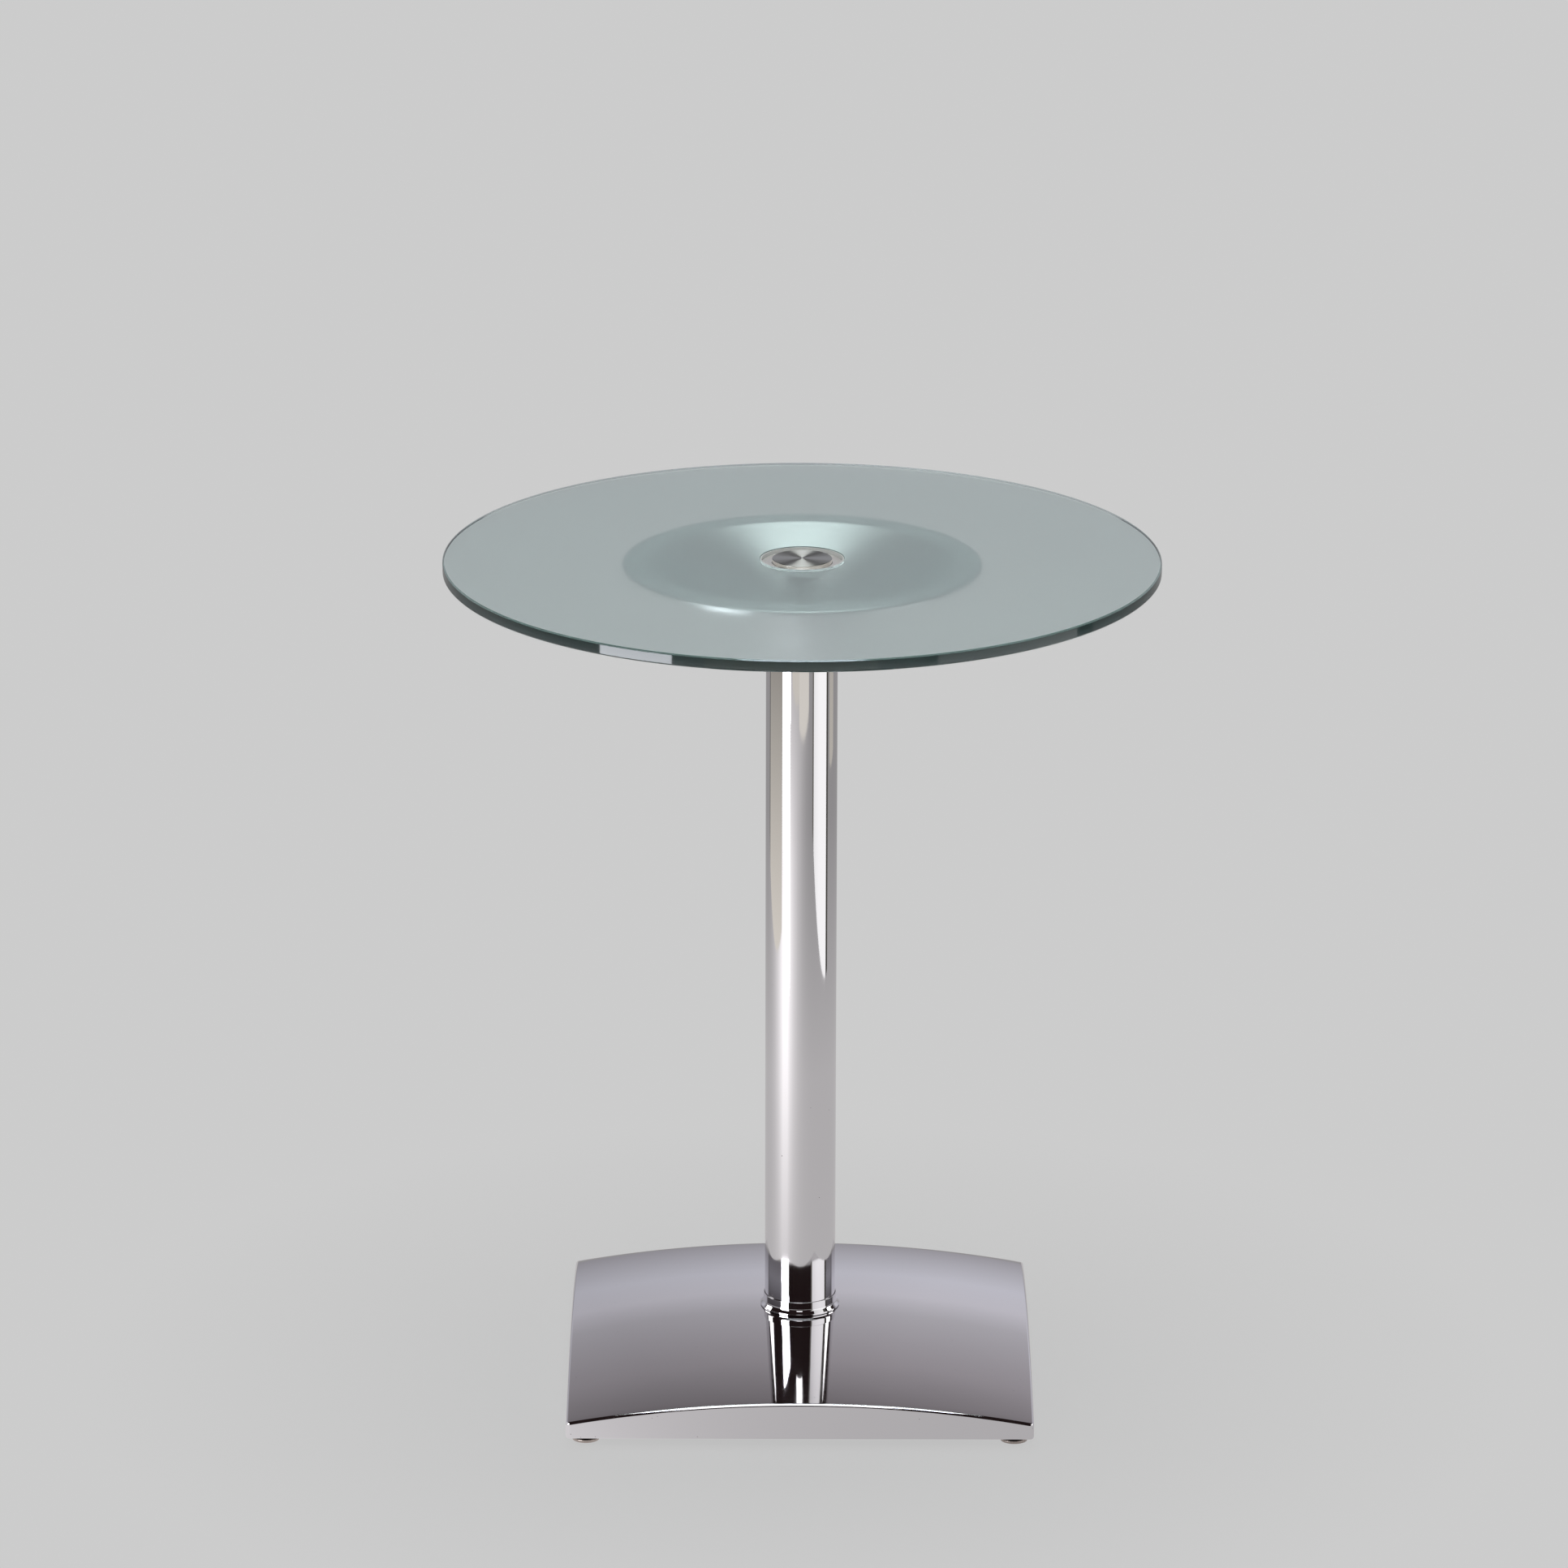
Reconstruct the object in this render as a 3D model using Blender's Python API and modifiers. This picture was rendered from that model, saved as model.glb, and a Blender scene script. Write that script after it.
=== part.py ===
"""Round glass side table: a frosted glass disc on a spun dish, a chromed column and a domed square base.

Metres, +Z up. The origin is on the floor under the column, and the table stands on four levelling glides.
Every piece is placed from the named sizes below, from the floor up to the glass and from the glass down
to the head of the column, so the column's length is what is left between the two.
"""

import math

import bmesh
import bpy
from mathutils import Vector

# Whole table
TABLE_HEIGHT = 0.720
SEAT_GAP = 0.0003
BOLT_CLEARANCE = 0.0003
CUT_OVERRUN = 0.004

# Glass top
GLASS_RADIUS = 0.300
GLASS_THICKNESS = 0.010
GLASS_ARRIS = 0.0012
GLASS_HOLE_RADIUS = 0.0353
GLASS_HOLE_ARRIS = 0.0006

# Hub in the hole of the glass
CAP_RADIUS = 0.025
CAP_CHAMFER = 0.0004
CAP_SPIGOT_DEPTH = 0.0018
LINER_WALL = 0.0012
LINER_RECESS = 0.0005
RING_RECESS = 0.0035
RING_CHAMFER = 0.0003
HUB_DROP = 0.0020
HUB_FLANGE_CLEARANCE = 0.0008
HUB_FLANGE_THICKNESS = 0.0040
HUB_STEM_RADIUS = 0.0120
HUB_FOOT_RADIUS = 0.0200
HUB_FOOT_THICKNESS = 0.0045
HUB_FILLET = 0.0030
HUB_BOLT_RADIUS = 0.0040
HUB_BOLT_HEAD_RADIUS = 0.0065
HUB_BOLT_HEAD_HEIGHT = 0.0080
HUB_BOLT_ENGAGEMENT = 0.0150
HUB_BOLT_POINT = 0.0007
HUB_WASHER_THICKNESS = 0.0016
COUNTERBORE_CLEARANCE = 0.0005

# Clear bumpers that carry the glass on the dish's flange
BUMPER_COUNT = 8
BUMPER_INSET = 0.0100
BUMPER_HEAD_RADIUS = 0.0025
BUMPER_HEAD_HEIGHT = 0.0013
BUMPER_HEAD_ROUND = 0.0004
BUMPER_STEM_RADIUS = 0.0012
BUMPER_BARB_RADIUS = 0.0020
BUMPER_BARB_HEIGHT = 0.0022

# Spun dish
DISH_SHEET = 0.0020
DISH_DEPTH = 0.0480
DISH_FLANGE_RADIUS = 0.1500
DISH_FLANGE_WIDTH = 0.0255
DISH_FLOOR_RADIUS = 0.0240
DISH_FLOOR_BEND = 0.0120
DISH_MOUTH_BEND = 0.0060
DISH_LIP_BEND = 0.0030
DISH_LIP_DEPTH = 0.0050

# Column
COLUMN_RADIUS = 0.0300
COLUMN_WALL = 0.0020
PLUG_LENGTH = 0.0180
PLUG_RIM_THICKNESS = 0.0030
PLUG_CHAMFER = 0.0010
FOOT_PLUG_LENGTH = 0.0220
COLLAR_HEIGHT = 0.0110
COLLAR_WALL = 0.0008
COLLAR_FOOT_RADIUS = 0.0336
COLLAR_FOOT_HEIGHT = 0.0012
COLLAR_FLARE_HEIGHT = 0.0042
COLLAR_FLARE_ROUND = 0.0030
COLLAR_EDGE_ROUND = 0.0004

# Pressed base shell, a square cut of a sphere with upright sides and a hem folded in below
BASE_WIDTH = 0.3920
BASE_FLOOR_GAP = 0.0085
BASE_SIDE_HEIGHT = 0.0317
BASE_DOME_RISE = 0.0174
SHELL_SHEET = 0.0015
SHELL_CORNER_ROUND = 0.0040
SHELL_RIM_ROUND = 0.0022
SHELL_HEM_ROUND = 0.0024
SHELL_HEM_WIDTH = 0.0080
DOME_CELLS = 12

# Ballast plate, base bolt and spacer
BALLAST_THICKNESS = 0.0100
BALLAST_CLEARANCE = 0.0010
BALLAST_CORNER_ROUND = 0.0030
BASE_BOLT_RADIUS = 0.0060
BASE_BOLT_HEAD_RADIUS = 0.0120
BASE_BOLT_HEAD_RIM = 0.0008
BASE_BOLT_ENGAGEMENT = 0.0190
BASE_BOLT_POINT = 0.0010
SPACER_RADIUS = 0.0140

# Levelling glides, one under each corner
GLIDE_INSET = 0.0165
GLIDE_RADIUS = 0.0113
GLIDE_HEIGHT = 0.0057
GLIDE_TOP_ROUND = 0.0008
GLIDE_UNDER_ROUND = 0.0032
GLIDE_RISE = 0.0020
SOCKET_FLOOR = 0.0020
SOCKET_RADIUS = 0.0048
SOCKET_LIP_THICKNESS = 0.0013
STUD_RADIUS = 0.0040
STUD_NECK_RADIUS = 0.0031
STUD_NECK_PLAY = 0.0004
STUD_HEX_ACROSS = 0.0130
STUD_TIP_CLEARANCE = 0.0005
STUD_POINT = 0.0008

# Fineness of round pieces: steps in a full turn, steps in a fillet, and the angle that stays an edge
GLASS_STEPS = 80
DISH_STEPS = 52
COLUMN_STEPS = 40
HUB_STEPS = 32
FASTENER_STEPS = 20
BUMPER_STEPS = 10
FILLET_STEPS = 2
BEND_SEGMENTS = 2
SHARP_ANGLE = math.radians(35)
WELD = 0.00001

# Levels, from the floor up to the dome and from the glass down to the column's head
BASE_HALF = BASE_WIDTH / 2
DOME_RADIUS = (BASE_HALF ** 2 + BASE_DOME_RISE ** 2) / (2 * BASE_DOME_RISE)
DOME_TOP = BASE_FLOOR_GAP + BASE_SIDE_HEIGHT + BASE_DOME_RISE
BALLAST_BOTTOM = BASE_FLOOR_GAP + SHELL_SHEET + SEAT_GAP
BALLAST_TOP = BALLAST_BOTTOM + BALLAST_THICKNESS
GLASS_BOTTOM = TABLE_HEIGHT - GLASS_THICKNESS
HUB_TOP = GLASS_BOTTOM - HUB_DROP
FLANGE_TOP = GLASS_BOTTOM - BUMPER_HEAD_HEIGHT - 2 * SEAT_GAP
BUMPER_CIRCLE_RADIUS = DISH_FLANGE_RADIUS - BUMPER_INSET
DISH_MOUTH_RADIUS = DISH_FLANGE_RADIUS - DISH_FLANGE_WIDTH
DISH_FLOOR_TOP = FLANGE_TOP - DISH_DEPTH
PLUG_TOP = DISH_FLOOR_TOP - DISH_SHEET - SEAT_GAP
COLUMN_TOP = PLUG_TOP - PLUG_RIM_THICKNESS - SEAT_GAP
COLUMN_BORE = COLUMN_RADIUS - COLUMN_WALL
HUB_BORE = HUB_BOLT_RADIUS + BOLT_CLEARANCE
BASE_BORE = BASE_BOLT_RADIUS + BOLT_CLEARANCE
STUD_HOLE = STUD_RADIUS + BOLT_CLEARANCE
GLIDE_OFFSET = BASE_HALF - GLIDE_INSET


def dome_height(radius):
    """Height of the dome's outer face at a distance from the column's axis."""
    return DOME_TOP - (DOME_RADIUS - math.sqrt(DOME_RADIUS ** 2 - radius ** 2))


def dome_underside(radius):
    """Height of the dome's inner face, one sheet inside the outer one."""
    inner = DOME_RADIUS - SHELL_SHEET
    return DOME_TOP - SHELL_SHEET - (inner - math.sqrt(inner ** 2 - radius ** 2))


# The two ends of what stands on the dome
COLUMN_BOTTOM = dome_height(COLUMN_BORE) + SEAT_GAP
COLLAR_BORE = COLUMN_RADIUS + SEAT_GAP
COLLAR_BOTTOM = dome_height(COLLAR_BORE) + SEAT_GAP

# A leveller's stack at rest. Screwed all the way in, its hexagon meets the plate and its tip clears the dome
SOCKET_LIP_BOTTOM = GLIDE_HEIGHT - SOCKET_LIP_THICKNESS
STUD_HEX_BOTTOM = GLIDE_HEIGHT + SEAT_GAP
STUD_HEX_TOP = BALLAST_BOTTOM - SEAT_GAP - GLIDE_RISE
STUD_FAR_SIDE = math.hypot(GLIDE_OFFSET, GLIDE_OFFSET) + STUD_RADIUS
STUD_TIP = dome_underside(STUD_FAR_SIDE) - STUD_TIP_CLEARANCE - GLIDE_RISE


def clear_scene():
    for old in list(bpy.data.objects):
        bpy.data.objects.remove(old)


def new_collection(name):
    collection = bpy.data.collections.new(name)
    bpy.context.scene.collection.children.link(collection)
    return collection


def new_material(name, color, metallic, roughness, transmission=0.0):
    material = bpy.data.materials.new(name)
    material.use_nodes = True
    shader = material.node_tree.nodes["Principled BSDF"]
    shader.inputs["Base Color"].default_value = (*color, 1.0)
    shader.inputs["Metallic"].default_value = metallic
    shader.inputs["Roughness"].default_value = roughness
    shader.inputs["Transmission Weight"].default_value = transmission
    material.diffuse_color = (*color, 1.0)
    material.metallic = metallic
    material.roughness = roughness
    return material


def rounded(corners, closed=False):
    """Outline through (radius, height, fillet) corners, each corner turned by an arc of its fillet."""
    outline = []
    for index, (x, z, fillet) in enumerate(corners):
        corner = Vector((x, z))
        at_end = index in (0, len(corners) - 1) and not closed
        if fillet == 0 or at_end:
            outline.append(corner)
            continue
        before = Vector(corners[index - 1][:2]) - corner
        after = Vector(corners[(index + 1) % len(corners)][:2]) - corner
        half_angle = before.angle(after) / 2
        reach = fillet / math.tan(half_angle)
        start = corner + before.normalized() * reach
        end = corner + after.normalized() * reach
        bisector = (before.normalized() + after.normalized()).normalized()
        centre = corner + bisector * (fillet / math.sin(half_angle))
        spoke = start - centre
        turn = spoke.angle_signed(end - centre)
        for step in range(FILLET_STEPS + 1):
            angle = -turn * step / FILLET_STEPS
            cos, sin = math.cos(angle), math.sin(angle)
            outline.append(centre + Vector((cos * spoke.x - sin * spoke.y, sin * spoke.x + cos * spoke.y)))
    return outline


def turned(name, corners, steps, closed=True):
    """A turned piece: a half outline in the XZ plane, swept once round Z by a Screw modifier.

    The outline runs down its outer side. A closed outline makes a ring, and an open one that starts and
    ends on the axis makes a solid piece.
    """
    outline = rounded(corners, closed)
    mesh = bpy.data.meshes.new(name)
    edges = [(i, i + 1) for i in range(len(outline) - 1)]
    if closed:
        edges.append((len(outline) - 1, 0))
    mesh.from_pydata([(point.x, 0, point.y) for point in outline], edges, [])
    piece = bpy.data.objects.new(name, mesh)
    bpy.context.scene.collection.objects.link(piece)
    screw = piece.modifiers.new("Turn", "SCREW")
    screw.axis = "Z"
    screw.angle = math.tau
    screw.steps = steps
    screw.render_steps = steps
    screw.use_merge_vertices = True
    screw.merge_threshold = WELD
    return piece


def from_bmesh(name, bm):
    mesh = bpy.data.meshes.new(name)
    bm.to_mesh(mesh)
    bm.free()
    piece = bpy.data.objects.new(name, mesh)
    bpy.context.scene.collection.objects.link(piece)
    return piece


def hex_prism(name, across_flats, bottom, top):
    bm = bmesh.new()
    corner_radius = across_flats / 2 / math.cos(math.pi / 6)
    bmesh.ops.create_cone(
        bm, cap_ends=True, segments=6, radius1=corner_radius, radius2=corner_radius, depth=top - bottom
    )
    bmesh.ops.translate(bm, verts=bm.verts, vec=(0, 0, (bottom + top) / 2))
    return from_bmesh(name, bm)


def baked(piece):
    """Apply a piece's modifiers and shade it smooth between its sharp edges."""
    bpy.context.view_layer.update()
    evaluated = piece.evaluated_get(bpy.context.evaluated_depsgraph_get())
    mesh = bpy.data.meshes.new_from_object(evaluated)
    mesh.name = piece.name
    piece.modifiers.clear()
    piece.data = mesh
    mesh.shade_smooth()
    mesh.set_sharp_from_angle(angle=SHARP_ANGLE)
    return piece


def combine(piece, other, operation):
    """Cut another shape out of a piece, or join it on, and keep the other shape as a hidden guide."""
    boolean = piece.modifiers.new(operation.title(), "BOOLEAN")
    boolean.operation = operation
    boolean.solver = "EXACT"
    boolean.object = other
    other.hide_render = True
    other.display_type = "WIRE"
    return piece


def place(piece, material, collection, parent, location=(0, 0, 0)):
    for old in list(piece.users_collection):
        old.objects.unlink(piece)
    collection.objects.link(piece)
    piece.parent = parent
    piece.location = location
    piece.data.materials.clear()
    piece.data.materials.append(material)
    return piece


def store_cutters(collection, cutters):
    for cutter in cutters:
        for old in list(cutter.users_collection):
            old.objects.unlink(cutter)
        collection.objects.link(cutter)
        cutter.hide_render = True
        cutter.display_type = "WIRE"


def add_axis(name, collection, parent, location):
    """An empty on a moving piece's axis, or at the table's origin."""
    axis = bpy.data.objects.new(name, None)
    axis.empty_display_size = COLUMN_RADIUS
    collection.objects.link(axis)
    axis.parent = parent
    axis.location = location
    return axis


def make_glass_top():
    corners = (
        (GLASS_RADIUS - GLASS_ARRIS, TABLE_HEIGHT, 0),
        (GLASS_RADIUS, TABLE_HEIGHT - GLASS_ARRIS, 0),
        (GLASS_RADIUS, GLASS_BOTTOM + GLASS_ARRIS, 0),
        (GLASS_RADIUS - GLASS_ARRIS, GLASS_BOTTOM, 0),
        (GLASS_HOLE_RADIUS + GLASS_HOLE_ARRIS, GLASS_BOTTOM, 0),
        (GLASS_HOLE_RADIUS, GLASS_BOTTOM + GLASS_HOLE_ARRIS, 0),
        (GLASS_HOLE_RADIUS, TABLE_HEIGHT - GLASS_HOLE_ARRIS, 0),
        (GLASS_HOLE_RADIUS + GLASS_HOLE_ARRIS, TABLE_HEIGHT, 0),
    )
    return baked(turned("glass_top", corners, GLASS_STEPS))


def make_hole_liner():
    """Plastic sleeve that keeps the metal hub off the glass."""
    outer = GLASS_HOLE_RADIUS - SEAT_GAP
    bottom, top = HUB_TOP + SEAT_GAP, TABLE_HEIGHT - LINER_RECESS
    corners = ((outer, top, 0), (outer, bottom, 0), (outer - LINER_WALL, bottom, 0), (outer - LINER_WALL, top, 0))
    return baked(turned("hole_liner", corners, HUB_STEPS))


def make_centring_ring():
    """Turned ring round the cap, its top a little below the glass."""
    outer = GLASS_HOLE_RADIUS - SEAT_GAP - LINER_WALL - SEAT_GAP
    inner = CAP_RADIUS + SEAT_GAP
    bottom, top = HUB_TOP + SEAT_GAP, TABLE_HEIGHT - RING_RECESS
    corners = (
        (outer - RING_CHAMFER, top, 0),
        (outer, top - RING_CHAMFER, 0),
        (outer, bottom, 0),
        (inner, bottom, 0),
        (inner, top, 0),
    )
    return baked(turned("centring_ring", corners, HUB_STEPS))


def make_top_cap():
    """Turned disc flush with the glass, with a spigot that drops into the hub's counterbore."""
    bottom = HUB_TOP + SEAT_GAP
    spigot = HUB_BOLT_HEAD_RADIUS
    corners = (
        (0, TABLE_HEIGHT, 0),
        (CAP_RADIUS - CAP_CHAMFER, TABLE_HEIGHT, 0),
        (CAP_RADIUS, TABLE_HEIGHT - CAP_CHAMFER, 0),
        (CAP_RADIUS, bottom, 0),
        (spigot, bottom, 0),
        (spigot, bottom - CAP_SPIGOT_DEPTH, 0),
        (0, bottom - CAP_SPIGOT_DEPTH, 0),
    )
    return baked(turned("top_cap", corners, HUB_STEPS, closed=False))


# The hub bolt's stack, from the cap's spigot down to the bolt's point in the head plug
HUB_HEAD_TOP = HUB_TOP + SEAT_GAP - CAP_SPIGOT_DEPTH - SEAT_GAP
HUB_HEAD_BOTTOM = HUB_HEAD_TOP - HUB_BOLT_HEAD_HEIGHT
HUB_WASHER_TOP = HUB_HEAD_BOTTOM - SEAT_GAP
COUNTERBORE_FLOOR = HUB_WASHER_TOP - HUB_WASHER_THICKNESS - SEAT_GAP
HUB_BOLT_TIP = PLUG_TOP - HUB_BOLT_ENGAGEMENT


def make_hub_post():
    """Spool that clamps the dish to the column and carries the ring, the liner and the cap."""
    flange = GLASS_HOLE_RADIUS - HUB_FLANGE_CLEARANCE
    bottom = DISH_FLOOR_TOP + SEAT_GAP
    counterbore = HUB_BOLT_HEAD_RADIUS + COUNTERBORE_CLEARANCE
    corners = (
        (flange, HUB_TOP, 0),
        (flange, HUB_TOP - HUB_FLANGE_THICKNESS, 0),
        (HUB_STEM_RADIUS, HUB_TOP - HUB_FLANGE_THICKNESS, HUB_FILLET),
        (HUB_STEM_RADIUS, bottom + HUB_FOOT_THICKNESS, HUB_FILLET),
        (HUB_FOOT_RADIUS, bottom + HUB_FOOT_THICKNESS, 0),
        (HUB_FOOT_RADIUS, bottom, 0),
        (HUB_BORE, bottom, 0),
        (HUB_BORE, COUNTERBORE_FLOOR, 0),
        (counterbore, COUNTERBORE_FLOOR, 0),
        (counterbore, HUB_TOP, 0),
    )
    return baked(turned("hub_post", corners, HUB_STEPS))


def make_hub_bolt():
    corners = (
        (0, HUB_HEAD_TOP, 0),
        (HUB_BOLT_HEAD_RADIUS, HUB_HEAD_TOP, 0),
        (HUB_BOLT_HEAD_RADIUS, HUB_HEAD_BOTTOM, 0),
        (HUB_BOLT_RADIUS, HUB_HEAD_BOTTOM, 0),
        (HUB_BOLT_RADIUS, HUB_BOLT_TIP + HUB_BOLT_POINT, 0),
        (HUB_BOLT_RADIUS - HUB_BOLT_POINT, HUB_BOLT_TIP, 0),
        (0, HUB_BOLT_TIP, 0),
    )
    return baked(turned("hub_bolt", corners, FASTENER_STEPS, closed=False))


def make_hub_washer():
    bottom = HUB_WASHER_TOP - HUB_WASHER_THICKNESS
    corners = (
        (HUB_BOLT_HEAD_RADIUS, HUB_WASHER_TOP, 0),
        (HUB_BOLT_HEAD_RADIUS, bottom, 0),
        (HUB_BORE, bottom, 0),
        (HUB_BORE, HUB_WASHER_TOP, 0),
    )
    return baked(turned("hub_washer", corners, FASTENER_STEPS))


def make_bumper_mesh():
    """Push-in bumper: a head on the flange, a stem through its hole and a barb below the sheet."""
    head_bottom = FLANGE_TOP + SEAT_GAP
    head_top = head_bottom + BUMPER_HEAD_HEIGHT
    barb_top = FLANGE_TOP - DISH_SHEET - SEAT_GAP
    corners = (
        (0, head_top, 0),
        (BUMPER_HEAD_RADIUS, head_top, BUMPER_HEAD_ROUND),
        (BUMPER_HEAD_RADIUS, head_bottom, 0),
        (BUMPER_STEM_RADIUS, head_bottom, 0),
        (BUMPER_STEM_RADIUS, barb_top, 0),
        (BUMPER_BARB_RADIUS, barb_top, 0),
        (BUMPER_STEM_RADIUS, barb_top - BUMPER_BARB_HEIGHT, 0),
        (0, barb_top - BUMPER_BARB_HEIGHT, 0),
    )
    return baked(turned("bumper", corners, BUMPER_STEPS, closed=False))


def bumper_places():
    for index in range(BUMPER_COUNT):
        angle = math.tau * index / BUMPER_COUNT
        yield BUMPER_CIRCLE_RADIUS * math.cos(angle), BUMPER_CIRCLE_RADIUS * math.sin(angle)


def drill_set(name, places, radius, steps, bottom, top):
    """Round cutters at a list of places, long enough to pass both faces."""
    bm = bmesh.new()
    for x, y in places:
        drill = bmesh.ops.create_cone(
            bm,
            cap_ends=True,
            segments=steps,
            radius1=radius,
            radius2=radius,
            depth=top - bottom + 2 * CUT_OVERRUN,
        )
        bmesh.ops.translate(bm, verts=drill["verts"], vec=(x, y, (top + bottom) / 2))
    return from_bmesh(name, bm)


def make_support_dish():
    """Spun dish: a floor on the column's head, a cone, a flat flange and a lip turned down round it.

    The outline is the face that shows from above, from the bolt hole outwards, and the sheet lies under it.
    """
    corners = (
        (HUB_BORE, DISH_FLOOR_TOP, 0),
        (DISH_FLOOR_RADIUS, DISH_FLOOR_TOP, DISH_FLOOR_BEND),
        (DISH_MOUTH_RADIUS, FLANGE_TOP, DISH_MOUTH_BEND),
        (DISH_FLANGE_RADIUS, FLANGE_TOP, DISH_LIP_BEND),
        (DISH_FLANGE_RADIUS, FLANGE_TOP - DISH_LIP_DEPTH, 0),
    )
    dish = turned("support_dish", corners, DISH_STEPS, closed=False)
    sheet = dish.modifiers.new("Sheet", "SOLIDIFY")
    sheet.thickness = DISH_SHEET
    sheet.offset = -1
    sheet.use_even_offset = True
    holes = drill_set(
        "bumper_holes",
        bumper_places(),
        BUMPER_STEM_RADIUS + BOLT_CLEARANCE,
        BUMPER_STEPS,
        FLANGE_TOP - DISH_SHEET,
        FLANGE_TOP,
    )
    combine(dish, holes, "DIFFERENCE")
    return baked(dish), holes


def make_head_plug():
    """Threaded plug in the column's head, its rim on the tube's end."""
    body = COLUMN_BORE - SEAT_GAP
    rim_bottom = PLUG_TOP - PLUG_RIM_THICKNESS
    corners = (
        (COLUMN_RADIUS, PLUG_TOP, 0),
        (COLUMN_RADIUS, rim_bottom, 0),
        (body, rim_bottom, 0),
        (body, rim_bottom - PLUG_LENGTH + PLUG_CHAMFER, 0),
        (body - PLUG_CHAMFER, rim_bottom - PLUG_LENGTH, 0),
        (HUB_BORE, rim_bottom - PLUG_LENGTH, 0),
        (HUB_BORE, PLUG_TOP, 0),
    )
    return baked(turned("head_plug", corners, HUB_STEPS))


def make_column_tube():
    corners = (
        (COLUMN_RADIUS, COLUMN_TOP, 0),
        (COLUMN_RADIUS, COLUMN_BOTTOM, 0),
        (COLUMN_BORE, COLUMN_BOTTOM, 0),
        (COLUMN_BORE, COLUMN_TOP, 0),
    )
    return baked(turned("column_tube", corners, COLUMN_STEPS))


def make_foot_plug():
    """Threaded plug in the column's foot, for the base bolt."""
    body = COLUMN_BORE - SEAT_GAP
    bottom = COLUMN_BOTTOM + SEAT_GAP
    corners = (
        (body - PLUG_CHAMFER, bottom + FOOT_PLUG_LENGTH, 0),
        (body, bottom + FOOT_PLUG_LENGTH - PLUG_CHAMFER, 0),
        (body, bottom, 0),
        (BASE_BORE, bottom, 0),
        (BASE_BORE, bottom + FOOT_PLUG_LENGTH, 0),
    )
    return baked(turned("foot_plug", corners, HUB_STEPS))


def make_column_collar():
    """Trim ring that flares from the column out onto the dome."""
    sleeve = COLLAR_BORE + COLLAR_WALL
    corners = (
        (sleeve, COLLAR_BOTTOM + COLLAR_HEIGHT, COLLAR_EDGE_ROUND),
        (sleeve, COLLAR_BOTTOM + COLLAR_FLARE_HEIGHT, COLLAR_FLARE_ROUND),
        (COLLAR_FOOT_RADIUS, COLLAR_BOTTOM + COLLAR_FOOT_HEIGHT, COLLAR_EDGE_ROUND),
        (COLLAR_FOOT_RADIUS, COLLAR_BOTTOM, 0),
        (COLLAR_BORE, COLLAR_BOTTOM, 0),
        (COLLAR_BORE, COLLAR_BOTTOM + COLLAR_HEIGHT, 0),
    )
    return baked(turned("column_collar", corners, COLUMN_STEPS))


def extrude_rim(bm, rim):
    """Extrude an open rim in place and return its new edges."""
    grown = bmesh.ops.extrude_edge_only(bm, edges=rim)["geom"]
    return [item for item in grown if isinstance(item, bmesh.types.BMEdge)]


def edge_verts(edges):
    return list({vert for edge in edges for vert in edge.verts})


def at_corner(vert):
    return min(abs(vert.co.x), abs(vert.co.y)) > BASE_HALF - WELD


def make_base_shell():
    """Pressed shell: a square grid laid on the sphere, sides dropped from its rim, and a hem folded in."""
    bm = bmesh.new()
    weights = bm.edges.layers.float.new("bevel_weight_edge")
    bmesh.ops.create_grid(bm, x_segments=DOME_CELLS, y_segments=DOME_CELLS, size=BASE_HALF)
    for vert in bm.verts:
        vert.co.z = dome_height(vert.co.xy.length)
    rim = [edge for edge in bm.edges if edge.is_boundary]
    fold = extrude_rim(bm, rim)
    for vert in edge_verts(fold):
        vert.co.z = BASE_FLOOR_GAP
    fold_corners = [vert for vert in edge_verts(fold) if at_corner(vert)]
    uprights = [
        edge
        for vert in fold_corners
        for edge in vert.link_edges
        if edge.other_vert(vert).co.z > BASE_FLOOR_GAP
    ]
    hem = extrude_rim(bm, fold)
    hem_half = BASE_HALF - SHELL_HEM_WIDTH
    for vert in edge_verts(hem):
        vert.co.x = max(-hem_half, min(hem_half, vert.co.x))
        vert.co.y = max(-hem_half, min(hem_half, vert.co.y))
    for edges, bend in ((rim, SHELL_RIM_ROUND), (fold, SHELL_HEM_ROUND), (uprights, SHELL_CORNER_ROUND)):
        for edge in edges:
            edge[weights] = bend / SHELL_CORNER_ROUND
    bmesh.ops.recalc_face_normals(bm, faces=bm.faces)
    shell = from_bmesh("base_shell", bm)
    bends = shell.modifiers.new("Bends", "BEVEL")
    bends.limit_method = "WEIGHT"
    bends.width = SHELL_CORNER_ROUND
    bends.segments = BEND_SEGMENTS
    bends.use_clamp_overlap = False
    sheet = shell.modifiers.new("Sheet", "SOLIDIFY")
    sheet.thickness = SHELL_SHEET
    sheet.offset = -1
    sheet.use_even_offset = True
    hole = drill_set("shell_hole", [(0, 0)], BASE_BORE, FASTENER_STEPS, dome_underside(BASE_BORE), DOME_TOP)
    combine(shell, hole, "DIFFERENCE")
    return baked(shell), hole


# The countersunk base bolt, its head flush with the underside of the ballast plate
COUNTERSINK_DEPTH = BASE_BOLT_HEAD_RIM + BASE_BOLT_HEAD_RADIUS - BASE_BOLT_RADIUS
BASE_BOLT_TIP = COLUMN_BOTTOM + SEAT_GAP + BASE_BOLT_ENGAGEMENT


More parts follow.
